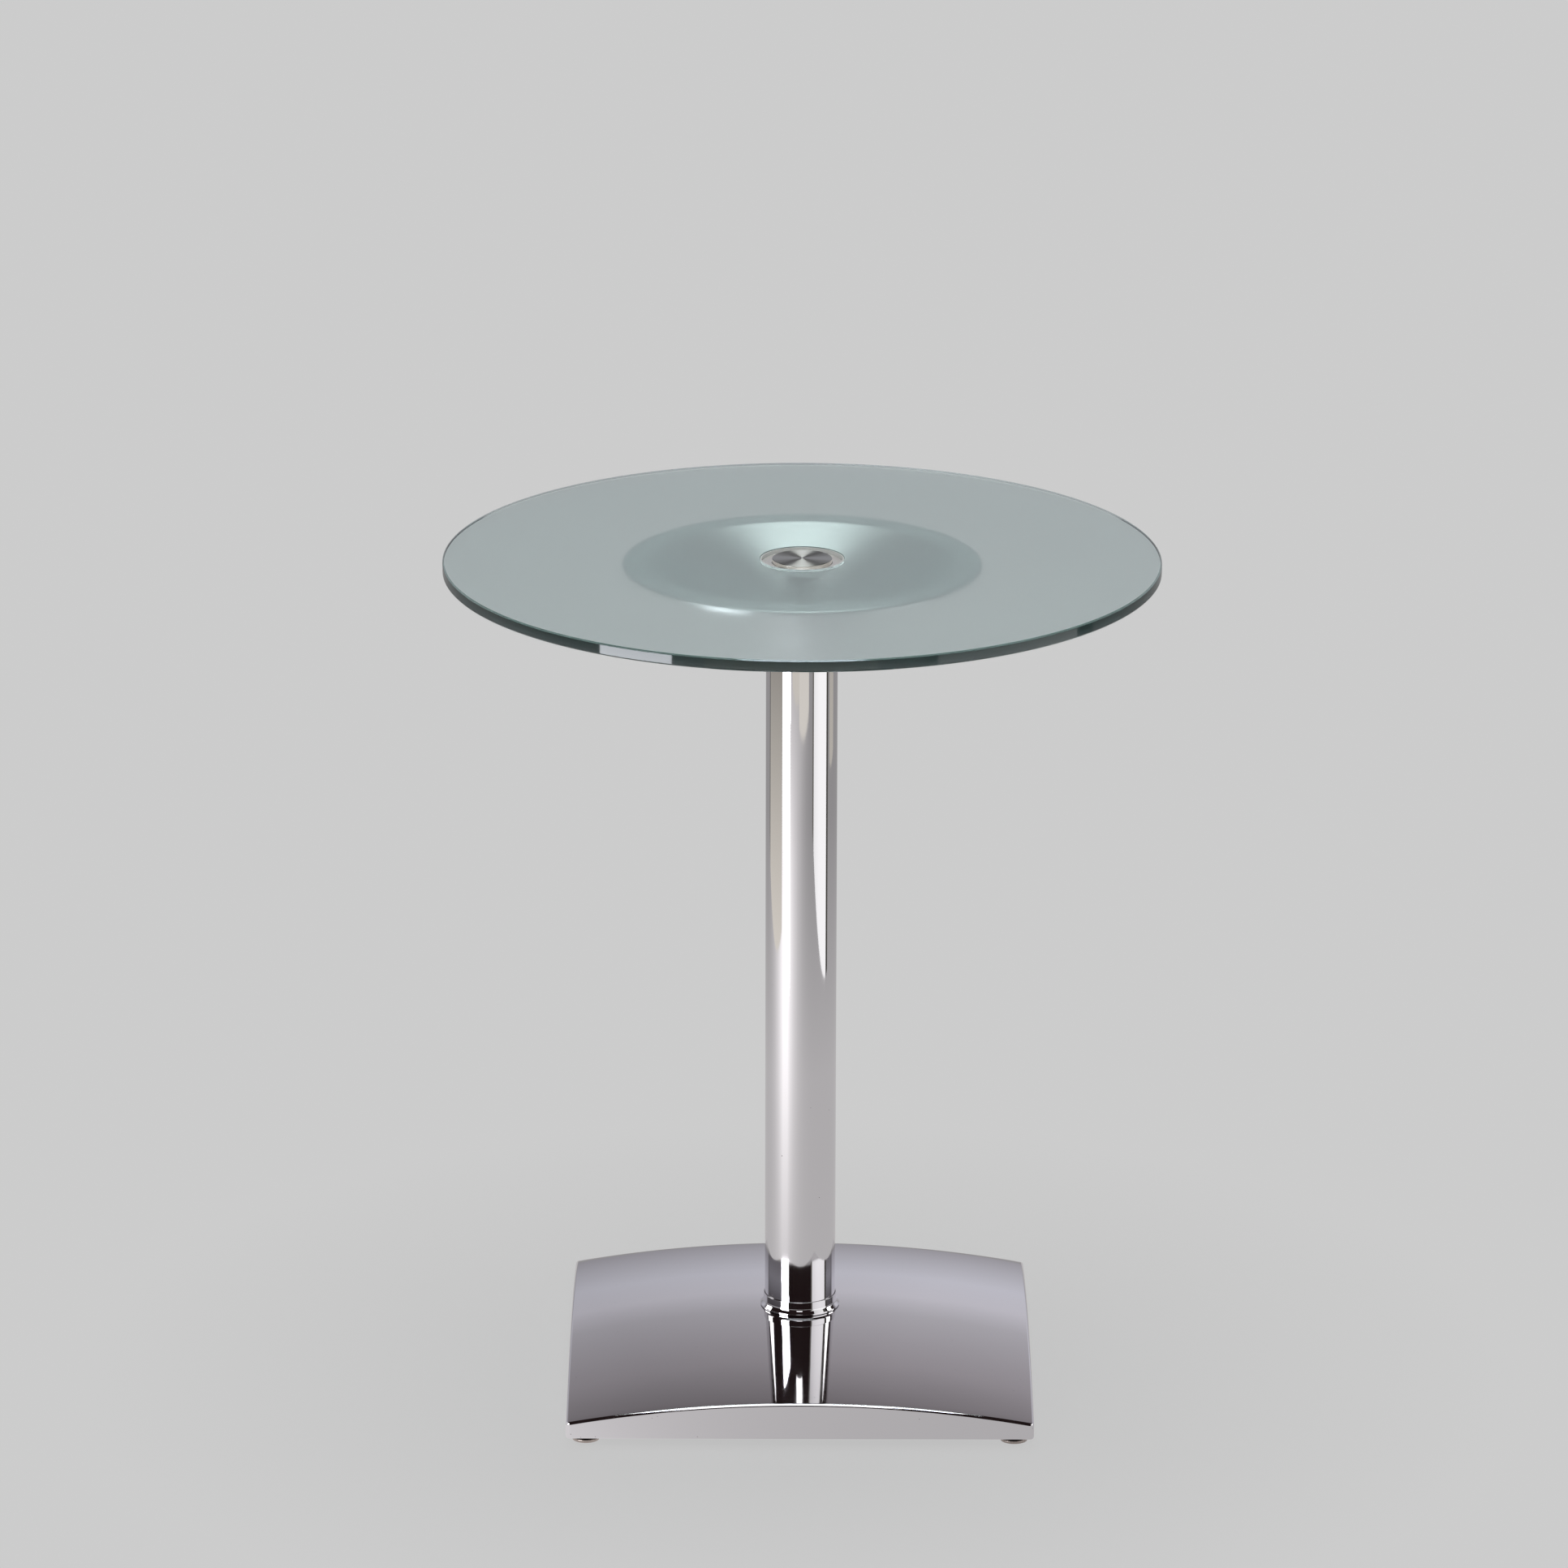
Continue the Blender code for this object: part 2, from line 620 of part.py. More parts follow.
def make_base_bolt():
    corners = (
        (0, BASE_BOLT_TIP, 0),
        (BASE_BOLT_RADIUS - BASE_BOLT_POINT, BASE_BOLT_TIP, 0),
        (BASE_BOLT_RADIUS, BASE_BOLT_TIP - BASE_BOLT_POINT, 0),
        (BASE_BOLT_RADIUS, BALLAST_BOTTOM + COUNTERSINK_DEPTH, 0),
        (BASE_BOLT_HEAD_RADIUS, BALLAST_BOTTOM + BASE_BOLT_HEAD_RIM, 0),
        (BASE_BOLT_HEAD_RADIUS, BALLAST_BOTTOM, 0),
        (0, BALLAST_BOTTOM, 0),
    )
    return baked(turned("base_bolt", corners, FASTENER_STEPS, closed=False))


def make_spacer_tube():
    """Tube that carries the bolt's clamping force from the dome to the ballast plate."""
    top = dome_underside(SPACER_RADIUS) - SEAT_GAP
    bottom = BALLAST_TOP + SEAT_GAP
    corners = ((SPACER_RADIUS, top, 0), (SPACER_RADIUS, bottom, 0), (BASE_BORE, bottom, 0), (BASE_BORE, top, 0))
    return baked(turned("spacer_tube", corners, FASTENER_STEPS))


def glide_places():
    for front_back, y in (("front", -GLIDE_OFFSET), ("rear", GLIDE_OFFSET)):
        for left_right, x in (("left", -GLIDE_OFFSET), ("right", GLIDE_OFFSET)):
            yield f"{front_back}_{left_right}", x, y


def make_ballast_plate():
    """Steel plate inside the shell, on the hem, tapped at its corners and countersunk for the base bolt."""
    half = BASE_HALF - SHELL_SHEET - BALLAST_CLEARANCE
    bm = bmesh.new()
    bmesh.ops.create_cube(bm, size=1)
    bmesh.ops.scale(bm, verts=bm.verts, vec=(2 * half, 2 * half, BALLAST_THICKNESS))
    bmesh.ops.translate(bm, verts=bm.verts, vec=(0, 0, (BALLAST_BOTTOM + BALLAST_TOP) / 2))
    weights = bm.edges.layers.float.new("bevel_weight_edge")
    for edge in bm.edges:
        lower, upper = sorted(vert.co.z for vert in edge.verts)
        edge[weights] = 1 if upper - lower > BALLAST_THICKNESS / 2 else 0
    plate = from_bmesh("ballast_plate", bm)
    corners = plate.modifiers.new("Corners", "BEVEL")
    corners.limit_method = "WEIGHT"
    corners.width = BALLAST_CORNER_ROUND
    corners.segments = BEND_SEGMENTS
    head = BASE_BOLT_HEAD_RADIUS + BOLT_CLEARANCE
    countersink_corners = (
        (0, BALLAST_TOP + CUT_OVERRUN, 0),
        (BASE_BORE, BALLAST_TOP + CUT_OVERRUN, 0),
        (BASE_BORE, BALLAST_BOTTOM + COUNTERSINK_DEPTH + BOLT_CLEARANCE, 0),
        (head, BALLAST_BOTTOM + BASE_BOLT_HEAD_RIM + BOLT_CLEARANCE, 0),
        (head, BALLAST_BOTTOM - CUT_OVERRUN, 0),
        (0, BALLAST_BOTTOM - CUT_OVERRUN, 0),
    )
    countersink = turned("countersink", countersink_corners, FASTENER_STEPS, closed=False)
    places = [(x, y) for _, x, y in glide_places()]
    stud_holes = drill_set("stud_holes", places, STUD_HOLE, FASTENER_STEPS, BALLAST_BOTTOM, BALLAST_TOP)
    combine(plate, countersink, "DIFFERENCE")
    combine(plate, stud_holes, "DIFFERENCE")
    return baked(plate), countersink, stud_holes


def make_glide():
    """Round glide with a socket that traps the stud's foot, so that it can swivel on the floor."""
    mouth = STUD_NECK_RADIUS + STUD_NECK_PLAY
    corners = (
        (0, SOCKET_FLOOR, 0),
        (SOCKET_RADIUS, SOCKET_FLOOR, 0),
        (SOCKET_RADIUS, SOCKET_LIP_BOTTOM, 0),
        (mouth, SOCKET_LIP_BOTTOM, 0),
        (mouth, GLIDE_HEIGHT, 0),
        (GLIDE_RADIUS, GLIDE_HEIGHT, GLIDE_TOP_ROUND),
        (GLIDE_RADIUS, 0, GLIDE_UNDER_ROUND),
        (0, 0, 0),
    )
    return baked(turned("glide", corners, FASTENER_STEPS, closed=False))


def make_stud():
    """Levelling stud: a foot in the glide's socket, a neck, a hexagon for the spanner and the screw."""
    foot_bottom = SOCKET_FLOOR + SEAT_GAP
    foot_top = SOCKET_LIP_BOTTOM - SEAT_GAP
    foot = SOCKET_RADIUS - STUD_NECK_PLAY
    inside_hex = (STUD_HEX_BOTTOM + STUD_HEX_TOP) / 2
    corners = (
        (0, STUD_TIP, 0),
        (STUD_RADIUS - STUD_POINT, STUD_TIP, 0),
        (STUD_RADIUS, STUD_TIP - STUD_POINT, 0),
        (STUD_RADIUS, inside_hex, 0),
        (STUD_NECK_RADIUS, inside_hex, 0),
        (STUD_NECK_RADIUS, foot_top, 0),
        (foot, foot_top, 0),
        (foot, foot_bottom, 0),
        (0, foot_bottom, 0),
    )
    stud = turned("stud", corners, FASTENER_STEPS, closed=False)
    hexagon = hex_prism("stud_hexagon", STUD_HEX_ACROSS, STUD_HEX_BOTTOM, STUD_HEX_TOP)
    combine(stud, hexagon, "UNION")
    return baked(stud), hexagon


def build():
    clear_scene()
    table = new_collection("round_glass_table")
    guides = new_collection("round_glass_table_cutters")
    origin = add_axis("table_origin", table, None, (0, 0, 0))

    frosted_glass = new_material("frosted_glass", (0.62, 0.72, 0.70), 0.0, 0.3, transmission=0.7)
    satin_metal = new_material("satin_aluminium", (0.70, 0.72, 0.72), 1.0, 0.35)
    turned_metal = new_material("turned_steel", (0.55, 0.55, 0.54), 1.0, 0.25)
    chrome = new_material("chrome", (0.78, 0.77, 0.79), 1.0, 0.05)
    zinc = new_material("zinc_plated_steel", (0.55, 0.56, 0.57), 1.0, 0.4)
    painted_steel = new_material("painted_steel", (0.08, 0.08, 0.085), 0.0, 0.6)
    clear_plastic = new_material("clear_plastic", (0.80, 0.83, 0.82), 0.0, 0.2, transmission=0.5)

    dish, bumper_holes = make_support_dish()
    shell, shell_hole = make_base_shell()
    plate, countersink, stud_holes = make_ballast_plate()
    for piece, material in (
        (make_glass_top(), frosted_glass),
        (make_hole_liner(), clear_plastic),
        (make_centring_ring(), satin_metal),
        (make_top_cap(), turned_metal),
        (make_hub_post(), satin_metal),
        (make_hub_bolt(), zinc),
        (make_hub_washer(), zinc),
        (dish, satin_metal),
        (make_head_plug(), zinc),
        (make_column_tube(), chrome),
        (make_foot_plug(), zinc),
        (make_column_collar(), chrome),
        (shell, chrome),
        (make_spacer_tube(), zinc),
        (make_base_bolt(), zinc),
        (plate, painted_steel),
    ):
        place(piece, material, table, origin)

    bumper = make_bumper_mesh()
    for number, (x, y) in enumerate(bumper_places(), start=1):
        copy = bpy.data.objects.new(f"bumper_{number}", bumper.data)
        place(copy, clear_plastic, table, origin, (x, y, 0))
    bpy.data.objects.remove(bumper)

    glide = make_glide()
    stud, hexagon = make_stud()
    for corner, x, y in glide_places():
        axis = add_axis(f"leveller_axis_{corner}", table, origin, (x, y, 0))
        place(bpy.data.objects.new(f"glide_{corner}", glide.data), chrome, table, axis)
        place(bpy.data.objects.new(f"stud_{corner}", stud.data), zinc, table, axis)
    bpy.data.objects.remove(glide)
    bpy.data.objects.remove(stud)
    store_cutters(guides, (bumper_holes, shell_hole, countersink, stud_holes, hexagon))


build()
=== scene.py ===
# %% [markdown]
# A round glass side table, dressed for its portrait. The construction comes in as a fixed frame of plain
# solids; this lesson gives each piece the fine surface and the finish of the real thing. The frame is
# measured first, so that places and main sizes are read from it and not typed again.

# %% Load the frame
import math

import bmesh
import bpy
from mathutils import Matrix, Vector


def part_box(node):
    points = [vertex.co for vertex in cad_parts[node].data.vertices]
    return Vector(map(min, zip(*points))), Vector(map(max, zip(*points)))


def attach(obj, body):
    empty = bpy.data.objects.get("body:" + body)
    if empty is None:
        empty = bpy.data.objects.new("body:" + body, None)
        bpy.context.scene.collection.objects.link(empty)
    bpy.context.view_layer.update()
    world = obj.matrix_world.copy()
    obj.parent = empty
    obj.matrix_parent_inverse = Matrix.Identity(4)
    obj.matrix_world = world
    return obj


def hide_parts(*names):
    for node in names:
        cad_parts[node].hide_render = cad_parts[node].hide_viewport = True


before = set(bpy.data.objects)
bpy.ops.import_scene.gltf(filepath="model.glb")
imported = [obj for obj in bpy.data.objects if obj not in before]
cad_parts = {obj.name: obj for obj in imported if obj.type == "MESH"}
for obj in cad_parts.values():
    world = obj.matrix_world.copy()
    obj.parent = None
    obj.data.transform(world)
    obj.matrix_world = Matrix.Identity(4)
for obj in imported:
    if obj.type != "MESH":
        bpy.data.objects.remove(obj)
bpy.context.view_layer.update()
MM = 0.001

# %% [markdown]
# Most pieces are turned, so two numbers say where one sits: how far its surface lies from its axis, and
# how high it reaches. Both are read from the solid that the fine piece will stand for.


# %% Measure the solids
def radii(node, centre=(0, 0)):
    """Smallest and largest distance of a solid's vertices from an upright axis."""
    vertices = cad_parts[node].data.vertices
    reach = [math.hypot(v.co.x - centre[0], v.co.y - centre[1]) for v in vertices]
    return min(reach), max(reach)


def levels(node):
    low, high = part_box(node)
    return low.z, high.z


def middle_of(node):
    low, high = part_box(node)
    return (low + high) / 2


TABLE_TOP = levels("glass_top")[1]
TABLE_RADIUS = radii("glass_top")[1]
print(f"table: {TABLE_TOP / MM:.0f} mm high, top {2 * TABLE_RADIUS / MM:.0f} mm across")

# %% [markdown]
# The portrait is taken from far away with a long lens, so the column's sides stay parallel. The camera
# stands in front, a little left of the column's axis, and looks down by seventeen degrees. The tiny roll
# is the lean that the picture has.

# %% Camera
CAMERA_PLACE = (-0.0147, -7.418, 2.8446)
CAMERA_PITCH = math.radians(17.383)
CAMERA_ROLL = 0.0025
LENS = 212.3
SENSOR_WIDTH = 36
VIEW_DEPTH = 60


def put_in_scene(name, data):
    piece = bpy.data.objects.new(name, data)
    bpy.context.scene.collection.objects.link(piece)
    return piece


camera = put_in_scene("camera", bpy.data.cameras.new("camera"))
camera.data.lens = LENS
camera.data.sensor_width = SENSOR_WIDTH
camera.data.clip_end = VIEW_DEPTH
camera.matrix_world = (
    Matrix.Translation(CAMERA_PLACE)
    @ Matrix.Rotation(math.pi / 2 - CAMERA_PITCH, 4, "X")
    @ Matrix.Rotation(CAMERA_ROLL, 4, "Z")
)
bpy.context.scene.camera = camera
bpy.context.scene.view_settings.view_transform = "Standard"
print("camera:", tuple(round(c, 3) for c in camera.location), f"lens {LENS} mm")

# %% [markdown]
# Shader trees and geometry trees are both made of nodes joined by links. A few small helpers keep the
# recipes short: one adds a node, one feeds a socket, one does sums, and one spreads a value over another
# range. The others take a vector apart, put one together and measure its length.


# %% Node helpers
def add_node(tree, kind, **settings):
    node = tree.nodes.new(kind)
    for name, value in settings.items():
        setattr(node, name, value)
    return node


def feed(tree, socket, value):
    """Link a socket to another one, or write a plain value into it. None leaves it alone."""
    if isinstance(value, bpy.types.NodeSocket):
        tree.links.new(value, socket)
    elif value is not None:
        socket.default_value = value


def calc(tree, operation, *values):
    """One sum, such as ADD or MULTIPLY, on sockets or plain numbers."""
    node = add_node(tree, "ShaderNodeMath", operation=operation)
    for socket, value in zip(node.inputs, values):
        feed(tree, socket, value)
    return node.outputs[0]


def spread(tree, value, low, high, out_low, out_high):
    """Map a value from one range to another, and hold it at both ends."""
    node = add_node(tree, "ShaderNodeMapRange")
    labels = ("Value", "From Min", "From Max", "To Min", "To Max")
    for label, number in zip(labels, (value, low, high, out_low, out_high)):
        feed(tree, node.inputs[label], number)
    return node.outputs["Result"]


def axes_of(tree, vector):
    node = add_node(tree, "ShaderNodeSeparateXYZ")
    feed(tree, node.inputs[0], vector)
    return node.outputs["X"], node.outputs["Y"], node.outputs["Z"]


def vector_of(tree, x=None, y=None, z=None):
    node = add_node(tree, "ShaderNodeCombineXYZ")
    for socket, value in zip(node.inputs, (x, y, z)):
        feed(tree, socket, value)
    return node.outputs[0]


def length_of(tree, vector):
    node = add_node(tree, "ShaderNodeVectorMath", operation="LENGTH")
    feed(tree, node.inputs[0], vector)
    return node.outputs["Value"]


print("node helpers ready")

# %% [markdown]
# The next helpers deal in colours and whole shaders: a ramp with any number of stops, two ways to blend,
# and a surface that gives off light. A stage surface is open from behind, so that nothing of the studio
# gets in the way of a view from the other side or from below.


# %% Colour and stage helpers
def stepped(tree, value, stops):
    """A colour ramp with its stops given as (place, colour)."""
    node = add_node(tree, "ShaderNodeValToRGB")
    elements = node.color_ramp.elements
    while len(elements) < len(stops):
        elements.new(1)
    for element, (place, color) in zip(elements, stops):
        element.position = place
        element.color = color
    feed(tree, node.inputs["Fac"], value)
    return node.outputs["Color"]


def blend_color(tree, share, first, second, way="MIX"):
    node = add_node(tree, "ShaderNodeMix", data_type="RGBA", blend_type=way)
    feed(tree, node.inputs["Factor"], share)
    feed(tree, node.inputs["A"], first)
    feed(tree, node.inputs["B"], second)
    return node.outputs["Result"]


def either(tree, share, first, second):
    """The first shader where the share is 0 and the second where it is 1."""
    node = add_node(tree, "ShaderNodeMixShader")
    for socket, value in zip(node.inputs, (share, first, second)):
        feed(tree, socket, value)
    return node.outputs[0]


def shining(tree, kind, color, strength=None):
    """A background or an emission shader."""
    node = add_node(tree, kind)
    feed(tree, node.inputs["Color"], color)
    feed(tree, node.inputs["Strength"], strength)
    return node.outputs[0]


def stage_material(name):
    """A material with an empty tree, and its Object coordinates."""
    material = bpy.data.materials.new(name)
    material.use_nodes = True
    tree = material.node_tree
    tree.nodes.clear()
    return material, tree, add_node(tree, "ShaderNodeTexCoord").outputs["Object"]


def show_front(tree, shader):
    """Finish a stage material that can be seen through from behind."""
    behind = add_node(tree, "ShaderNodeNewGeometry").outputs["Backfacing"]
    clear = add_node(tree, "ShaderNodeBsdfTransparent").outputs[0]
    surface = add_node(tree, "ShaderNodeOutputMaterial").inputs["Surface"]
    feed(tree, surface, either(tree, behind, shader, clear))


print("colour and stage helpers ready")

# %% [markdown]
# Chrome has no look of its own: it shows the room. So the room comes before the metal. The backdrop
# is one flat pale grey wherever the camera looks at it, and polished metal sees a studio: a glow low
# behind the table that fades upwards, a weaker one low at both sides, and darkness on the camera's side
# and overhead.

# %% Studio room
BACKDROP = (0.605, 0.605, 0.605, 1)
GLOW_STOPS = (
    (0.00, (0.36, 0.35, 0.38, 1)),
    (0.20, (0.60, 0.60, 0.66, 1)),
    (0.30, (0.60, 0.59, 0.64, 1)),
    (0.38, (0.46, 0.45, 0.48, 1)),
    (0.55, (0.34, 0.32, 0.34, 1)),
    (0.67, (0.19, 0.175, 0.185, 1)),
    (0.78, (0.02, 0.014, 0.014, 1)),
)
ROOM_DARK = (0.016, 0.010, 0.010, 1)
LEFT_GLOW = (-0.12, 0.08, 0.80, 1.0)
BEHIND = (0.48, 0.66, 0.0, 1.0)
BESIDE = (0.72, 0.88, 0.0, 0.5)
LOW_BESIDE = (0.14, 0.34, 1.0, 0.0)


def make_room():
    world = bpy.data.worlds.new("studio")
    bpy.context.scene.world = world
    world.use_nodes = True
    tree = world.node_tree
    tree.nodes.clear()
    x, y, z = axes_of(tree, add_node(tree, "ShaderNodeTexCoord").outputs["Generated"])
    glow = stepped(tree, z, GLOW_STOPS)
    leaning = blend_color(tree, 1.0, glow, spread(tree, x, *LEFT_GLOW), way="MULTIPLY")
    beside = spread(tree, calc(tree, "ABSOLUTE", x), *BESIDE)
    low_beside = calc(tree, "MULTIPLY", beside, spread(tree, z, *LOW_BESIDE))
    lit = calc(tree, "MAXIMUM", spread(tree, y, *BEHIND), low_beside)
    studio = shining(tree, "ShaderNodeBackground", blend_color(tree, lit, ROOM_DARK, leaning))
    flat = shining(tree, "ShaderNodeBackground", BACKDROP)
    by_camera = add_node(tree, "ShaderNodeLightPath").outputs["Is Camera Ray"]
    surface = add_node(tree, "ShaderNodeOutputWorld").inputs["Surface"]
    feed(tree, surface, either(tree, by_camera, studio, flat))


make_room()
print("room:", len(GLOW_STOPS), "steps of glow above the horizon")

# %% [markdown]
# The floor is pale paper. Polished metal sees it brightest where the big lamp on the left pours light
# onto it, and duller with distance. A real pool of light would need a real lamp there, which would also
# light the table, so the pool is worked out here as a brightness: a soft hill along one direction.

# %% Paper as metal sees it
PAPER_STOPS = ((0.0, 0.53), (0.8, 0.52), (1.0, 0.47), (1.25, 0.41), (1.6, 0.33), (2.2, 0.32))
PAPER_REACH = 2.4
POOL_TURN = math.radians(-51)
POOL_DISTANCE = 1.25
POOL_LENGTH = 0.80
POOL_CORE = math.radians(8)
POOL_FADING = 2.2
POOL_BRIGHTNESS = 0.98


def paper_in_metal(tree, place):
    """Brightness of the floor as polished metal sees it: fading outwards, with one pool of light."""
    stops = [(reach / PAPER_REACH, (level, level, level, 1)) for reach, level in PAPER_STOPS]
    paper = stepped(tree, calc(tree, "DIVIDE", length_of(tree, place), PAPER_REACH), stops)
    x, y, _ = axes_of(tree, place)
    sin, cos = math.sin(POOL_TURN), math.cos(POOL_TURN)
    along = calc(tree, "SUBTRACT", calc(tree, "MULTIPLY", x, sin), calc(tree, "MULTIPLY", y, cos))
    across = calc(tree, "ADD", calc(tree, "MULTIPLY", x, cos), calc(tree, "MULTIPLY", y, sin))
    long_way = calc(tree, "DIVIDE", calc(tree, "SUBTRACT", along, POOL_DISTANCE), POOL_LENGTH)
    aside = calc(tree, "ABSOLUTE", calc(tree, "ARCTAN2", across, along))
    outside = calc(tree, "MAXIMUM", calc(tree, "SUBTRACT", aside, POOL_CORE), 0.0)
    short_way = calc(tree, "MULTIPLY", outside, POOL_FADING)
    fading = calc(tree, "ADD", calc(tree, "MULTIPLY", long_way, long_way), short_way)
    hill = calc(tree, "EXPONENT", calc(tree, "MULTIPLY", fading, -1.0))
    return calc(tree, "ADD", paper, calc(tree, "MULTIPLY", hill, POOL_BRIGHTNESS))


print("paper:", len(PAPER_STOPS), f"steps of brightness, pool of light {POOL_DISTANCE} m away")

# %% [markdown]
# For most light the floor is a plain matt surface. The camera sees it partly as itself, which keeps the
# soft shadow under the base, and further out only as the flat backdrop, so no horizon shows. From below
# the floor isn't there, so the underside can be looked at.

# %% Floor
FLOOR_RADIUS = 14.0
FLOOR_STEPS = 96
SHADOW_NEAR = 0.20
SHADOW_FAR = 0.62
SHADOW_SHARE = 0.15
PAPER_LIGHT = (1.0, 0.98, 0.985, 1)


def ray_kinds(tree):
    """1 where a ray ends in the picture or in glass, and 1 where it ends in a reflection."""
    path = add_node(tree, "ShaderNodeLightPath")
    seen = calc(tree, "MAXIMUM", path.outputs["Is Camera Ray"], path.outputs["Is Transmission Ray"])
    mirrored = calc(tree, "MULTIPLY", path.outputs["Is Glossy Ray"], calc(tree, "SUBTRACT", 1.0, seen))
    return seen, mirrored


def make_floor():
    bm = bmesh.new()
    bmesh.ops.create_circle(bm, cap_ends=True, segments=FLOOR_STEPS, radius=FLOOR_RADIUS)
    mesh = bpy.data.meshes.new("floor")
    bm.to_mesh(mesh)
    bm.free()
    floor = put_in_scene("floor", mesh)
    material, tree, place = stage_material("floor_paper")
    shadowed = spread(tree, length_of(tree, place), SHADOW_NEAR, SHADOW_FAR, SHADOW_SHARE, 0.0)
    seen, mirrored = ray_kinds(tree)
    flat_share = calc(tree, "MULTIPLY", seen, calc(tree, "SUBTRACT", 1.0, shadowed))
    matt = add_node(tree, "ShaderNodeBsdfDiffuse")
    matt.inputs["Color"].default_value = BACKDROP
    flat = shining(tree, "ShaderNodeEmission", BACKDROP)
    lit = shining(tree, "ShaderNodeEmission", PAPER_LIGHT, paper_in_metal(tree, place))
    for_camera = either(tree, flat_share, matt.outputs[0], flat)
    show_front(tree, either(tree, mirrored, for_camera, lit))
    mesh.materials.append(material)
    return floor


print("floor:", make_floor().name, f"{2 * FLOOR_RADIUS:.0f} m across")

# %% [markdown]
# Cards stand round the table and draw the stripes on the column. Only polished and satin surfaces see
# them. Lamps could do this too, but a lamp has one brightness all over, and a card may fade with its
# distance from the table.


# %% Card helpers
def add_card(name, mesh, brightness, warmth, far=None, reach=(0, 1)):
    """A stage piece seen only in reflections. Its light may change with distance."""
    card = put_in_scene(name, mesh)
    card.visible_camera = False
    card.visible_diffuse = False
    card.visible_transmission = False
    card.visible_shadow = False
    material, tree, place = stage_material(name)
    last = brightness if far is None else far
    level = spread(tree, length_of(tree, place), reach[0], reach[1], brightness, last)
    show_front(tree, shining(tree, "ShaderNodeEmission", (1 + warmth / 2, 1, 1 - warmth, 1), level))
    mesh.materials.append(material)


def in_plan(turn, distance, level):
    """A point given by its degrees round from the camera's side, its distance and its level."""
    turn = math.radians(turn)
    return distance * math.sin(turn), -distance * math.cos(turn), level


def make_panel(name, corners, brightness, warmth, far=None, reach=(0, 1)):
    """One flat face that shines towards the table."""
    mesh = bpy.data.meshes.new(name)
    mesh.from_pydata(corners, [], [tuple(range(len(corners)))])
    middle = sum((Vector(corner) for corner in corners), Vector()) / len(corners)
    if mesh.polygons[0].normal.dot(middle) > 0:
        mesh.flip_normals()
    add_card(name, mesh, brightness, warmth, far, reach)


print("card helpers ready")

# %% [markdown]
# Each upright card is given by its two ends in plan, as degrees round from the camera's side and a
# distance, and by its height at each end. The soft boxes are bright: 1 is paper white in a perfect
# mirror, so 10 stays white even in glass, which mirrors only a twentieth. Dark frames beside the right
# box draw fine lines. A narrow strip overhead shines on the glass's broken edge. Another strip hangs high
# in front, and two slim triangles stand to the sides, a little behind the table.

# %% Soft boxes and frames
CARDS = (
    # name, first end, second end, low, high at first end, high at second end, brightness, warmth
    ("left_box", (-61.4, 1.62), (-36.0, 1.06), 0.27, 1.43, 0.83, (10.0, 10.0), -0.06),
    ("left_box_foot", (-62.9, 1.62), (-37.0, 1.06), 0.0, 0.27, 0.27, (4.5, 4.5), -0.03),
    ("right_box", (39.4, 1.50), (86.0, 1.09), 0.0, 1.60, 1.60, (1.14, 0.70), 0.0),
    ("right_frame_front", (35.3, 1.575), (39.0, 1.507), 0.0, 1.60, 1.60, (0.15, 0.15), 0.10),
    ("right_frame_back", (86.5, 1.09), (93.5, 1.11), 0.0, 1.60, 1.60, (0.07, 0.07), 0.10),
    ("front_strip", (-12.0, 2.15), (9.0, 2.13), 1.70, 2.90, 2.90, (2.6, 2.6), 0.0),
)
CARD_FADE = (1.2, 2.0)
ARRIS_STRIP = ((-0.60, -1.08, 2.6), (0.60, -1.08, 2.6), (0.60, -0.80, 2.6), (-0.60, -0.80, 2.6))
PANELS = (
    # name, corners as (x, y, z), brightness, warmth
    ("left_strip", ((-1.45, 0.98, 0.62), (-1.74, 0.21, 0.62), (-1.64, 0.61, 1.75)), 2.6, 0.0),
    ("right_strip", ((1.75, 0.12, 0.62), (1.57, 0.77, 0.62), (1.69, 0.45, 1.75)), 2.6, 0.0),
    ("arris_strip", ARRIS_STRIP, 8.0, -0.16),
)

for name, first, second, low, first_high, second_high, brightness, warmth in CARDS:
    feet = (in_plan(*first, low), in_plan(*second, low))
    tops = (in_plan(*second, second_high), in_plan(*first, first_high))
    make_panel(name, feet + tops, brightness[0], warmth, brightness[1], CARD_FADE)
for panel in PANELS:
    make_panel(*panel)
print("cards:", len(CARDS), "panels:", len(PANELS))

# %% [markdown]
# Sheets lying on the floor make the warm bands low on the column. The column looks down on them, while
# the dome of the base, which looks up, can't see them. Standing screens would show in both.

# %% Sheets on the floor
SHEETS = (
    # name, first and last turn, turn and distance of the nearest point, far distance, brightness, warmth
    ("left_sheet", (-119.0, -65.0), (-84.0, 1.165), 2.3, (0.74, 0.26), 0.10),
    ("left_sheet_edge", (-125.0, -119.0), (-84.0, 1.165), 2.3, (0.30, 0.14), 0.05),
    ("middle_sheet", (-29.6, -8.0), (-15.0, 2.00), 2.7, (0.66, 0.62), 0.10),
    ("front_sheet", (-8.0, 22.8), (4.5, 1.875), 2.7, (0.74, 0.66), 0.08),
    ("right_sheet", (100.5, 122.0), (108.0, 1.76), 2.4, (0.52, 0.44), 0.10),
)
SHEET_LIFT = 2.0 * MM
SHEET_STEPS = 12


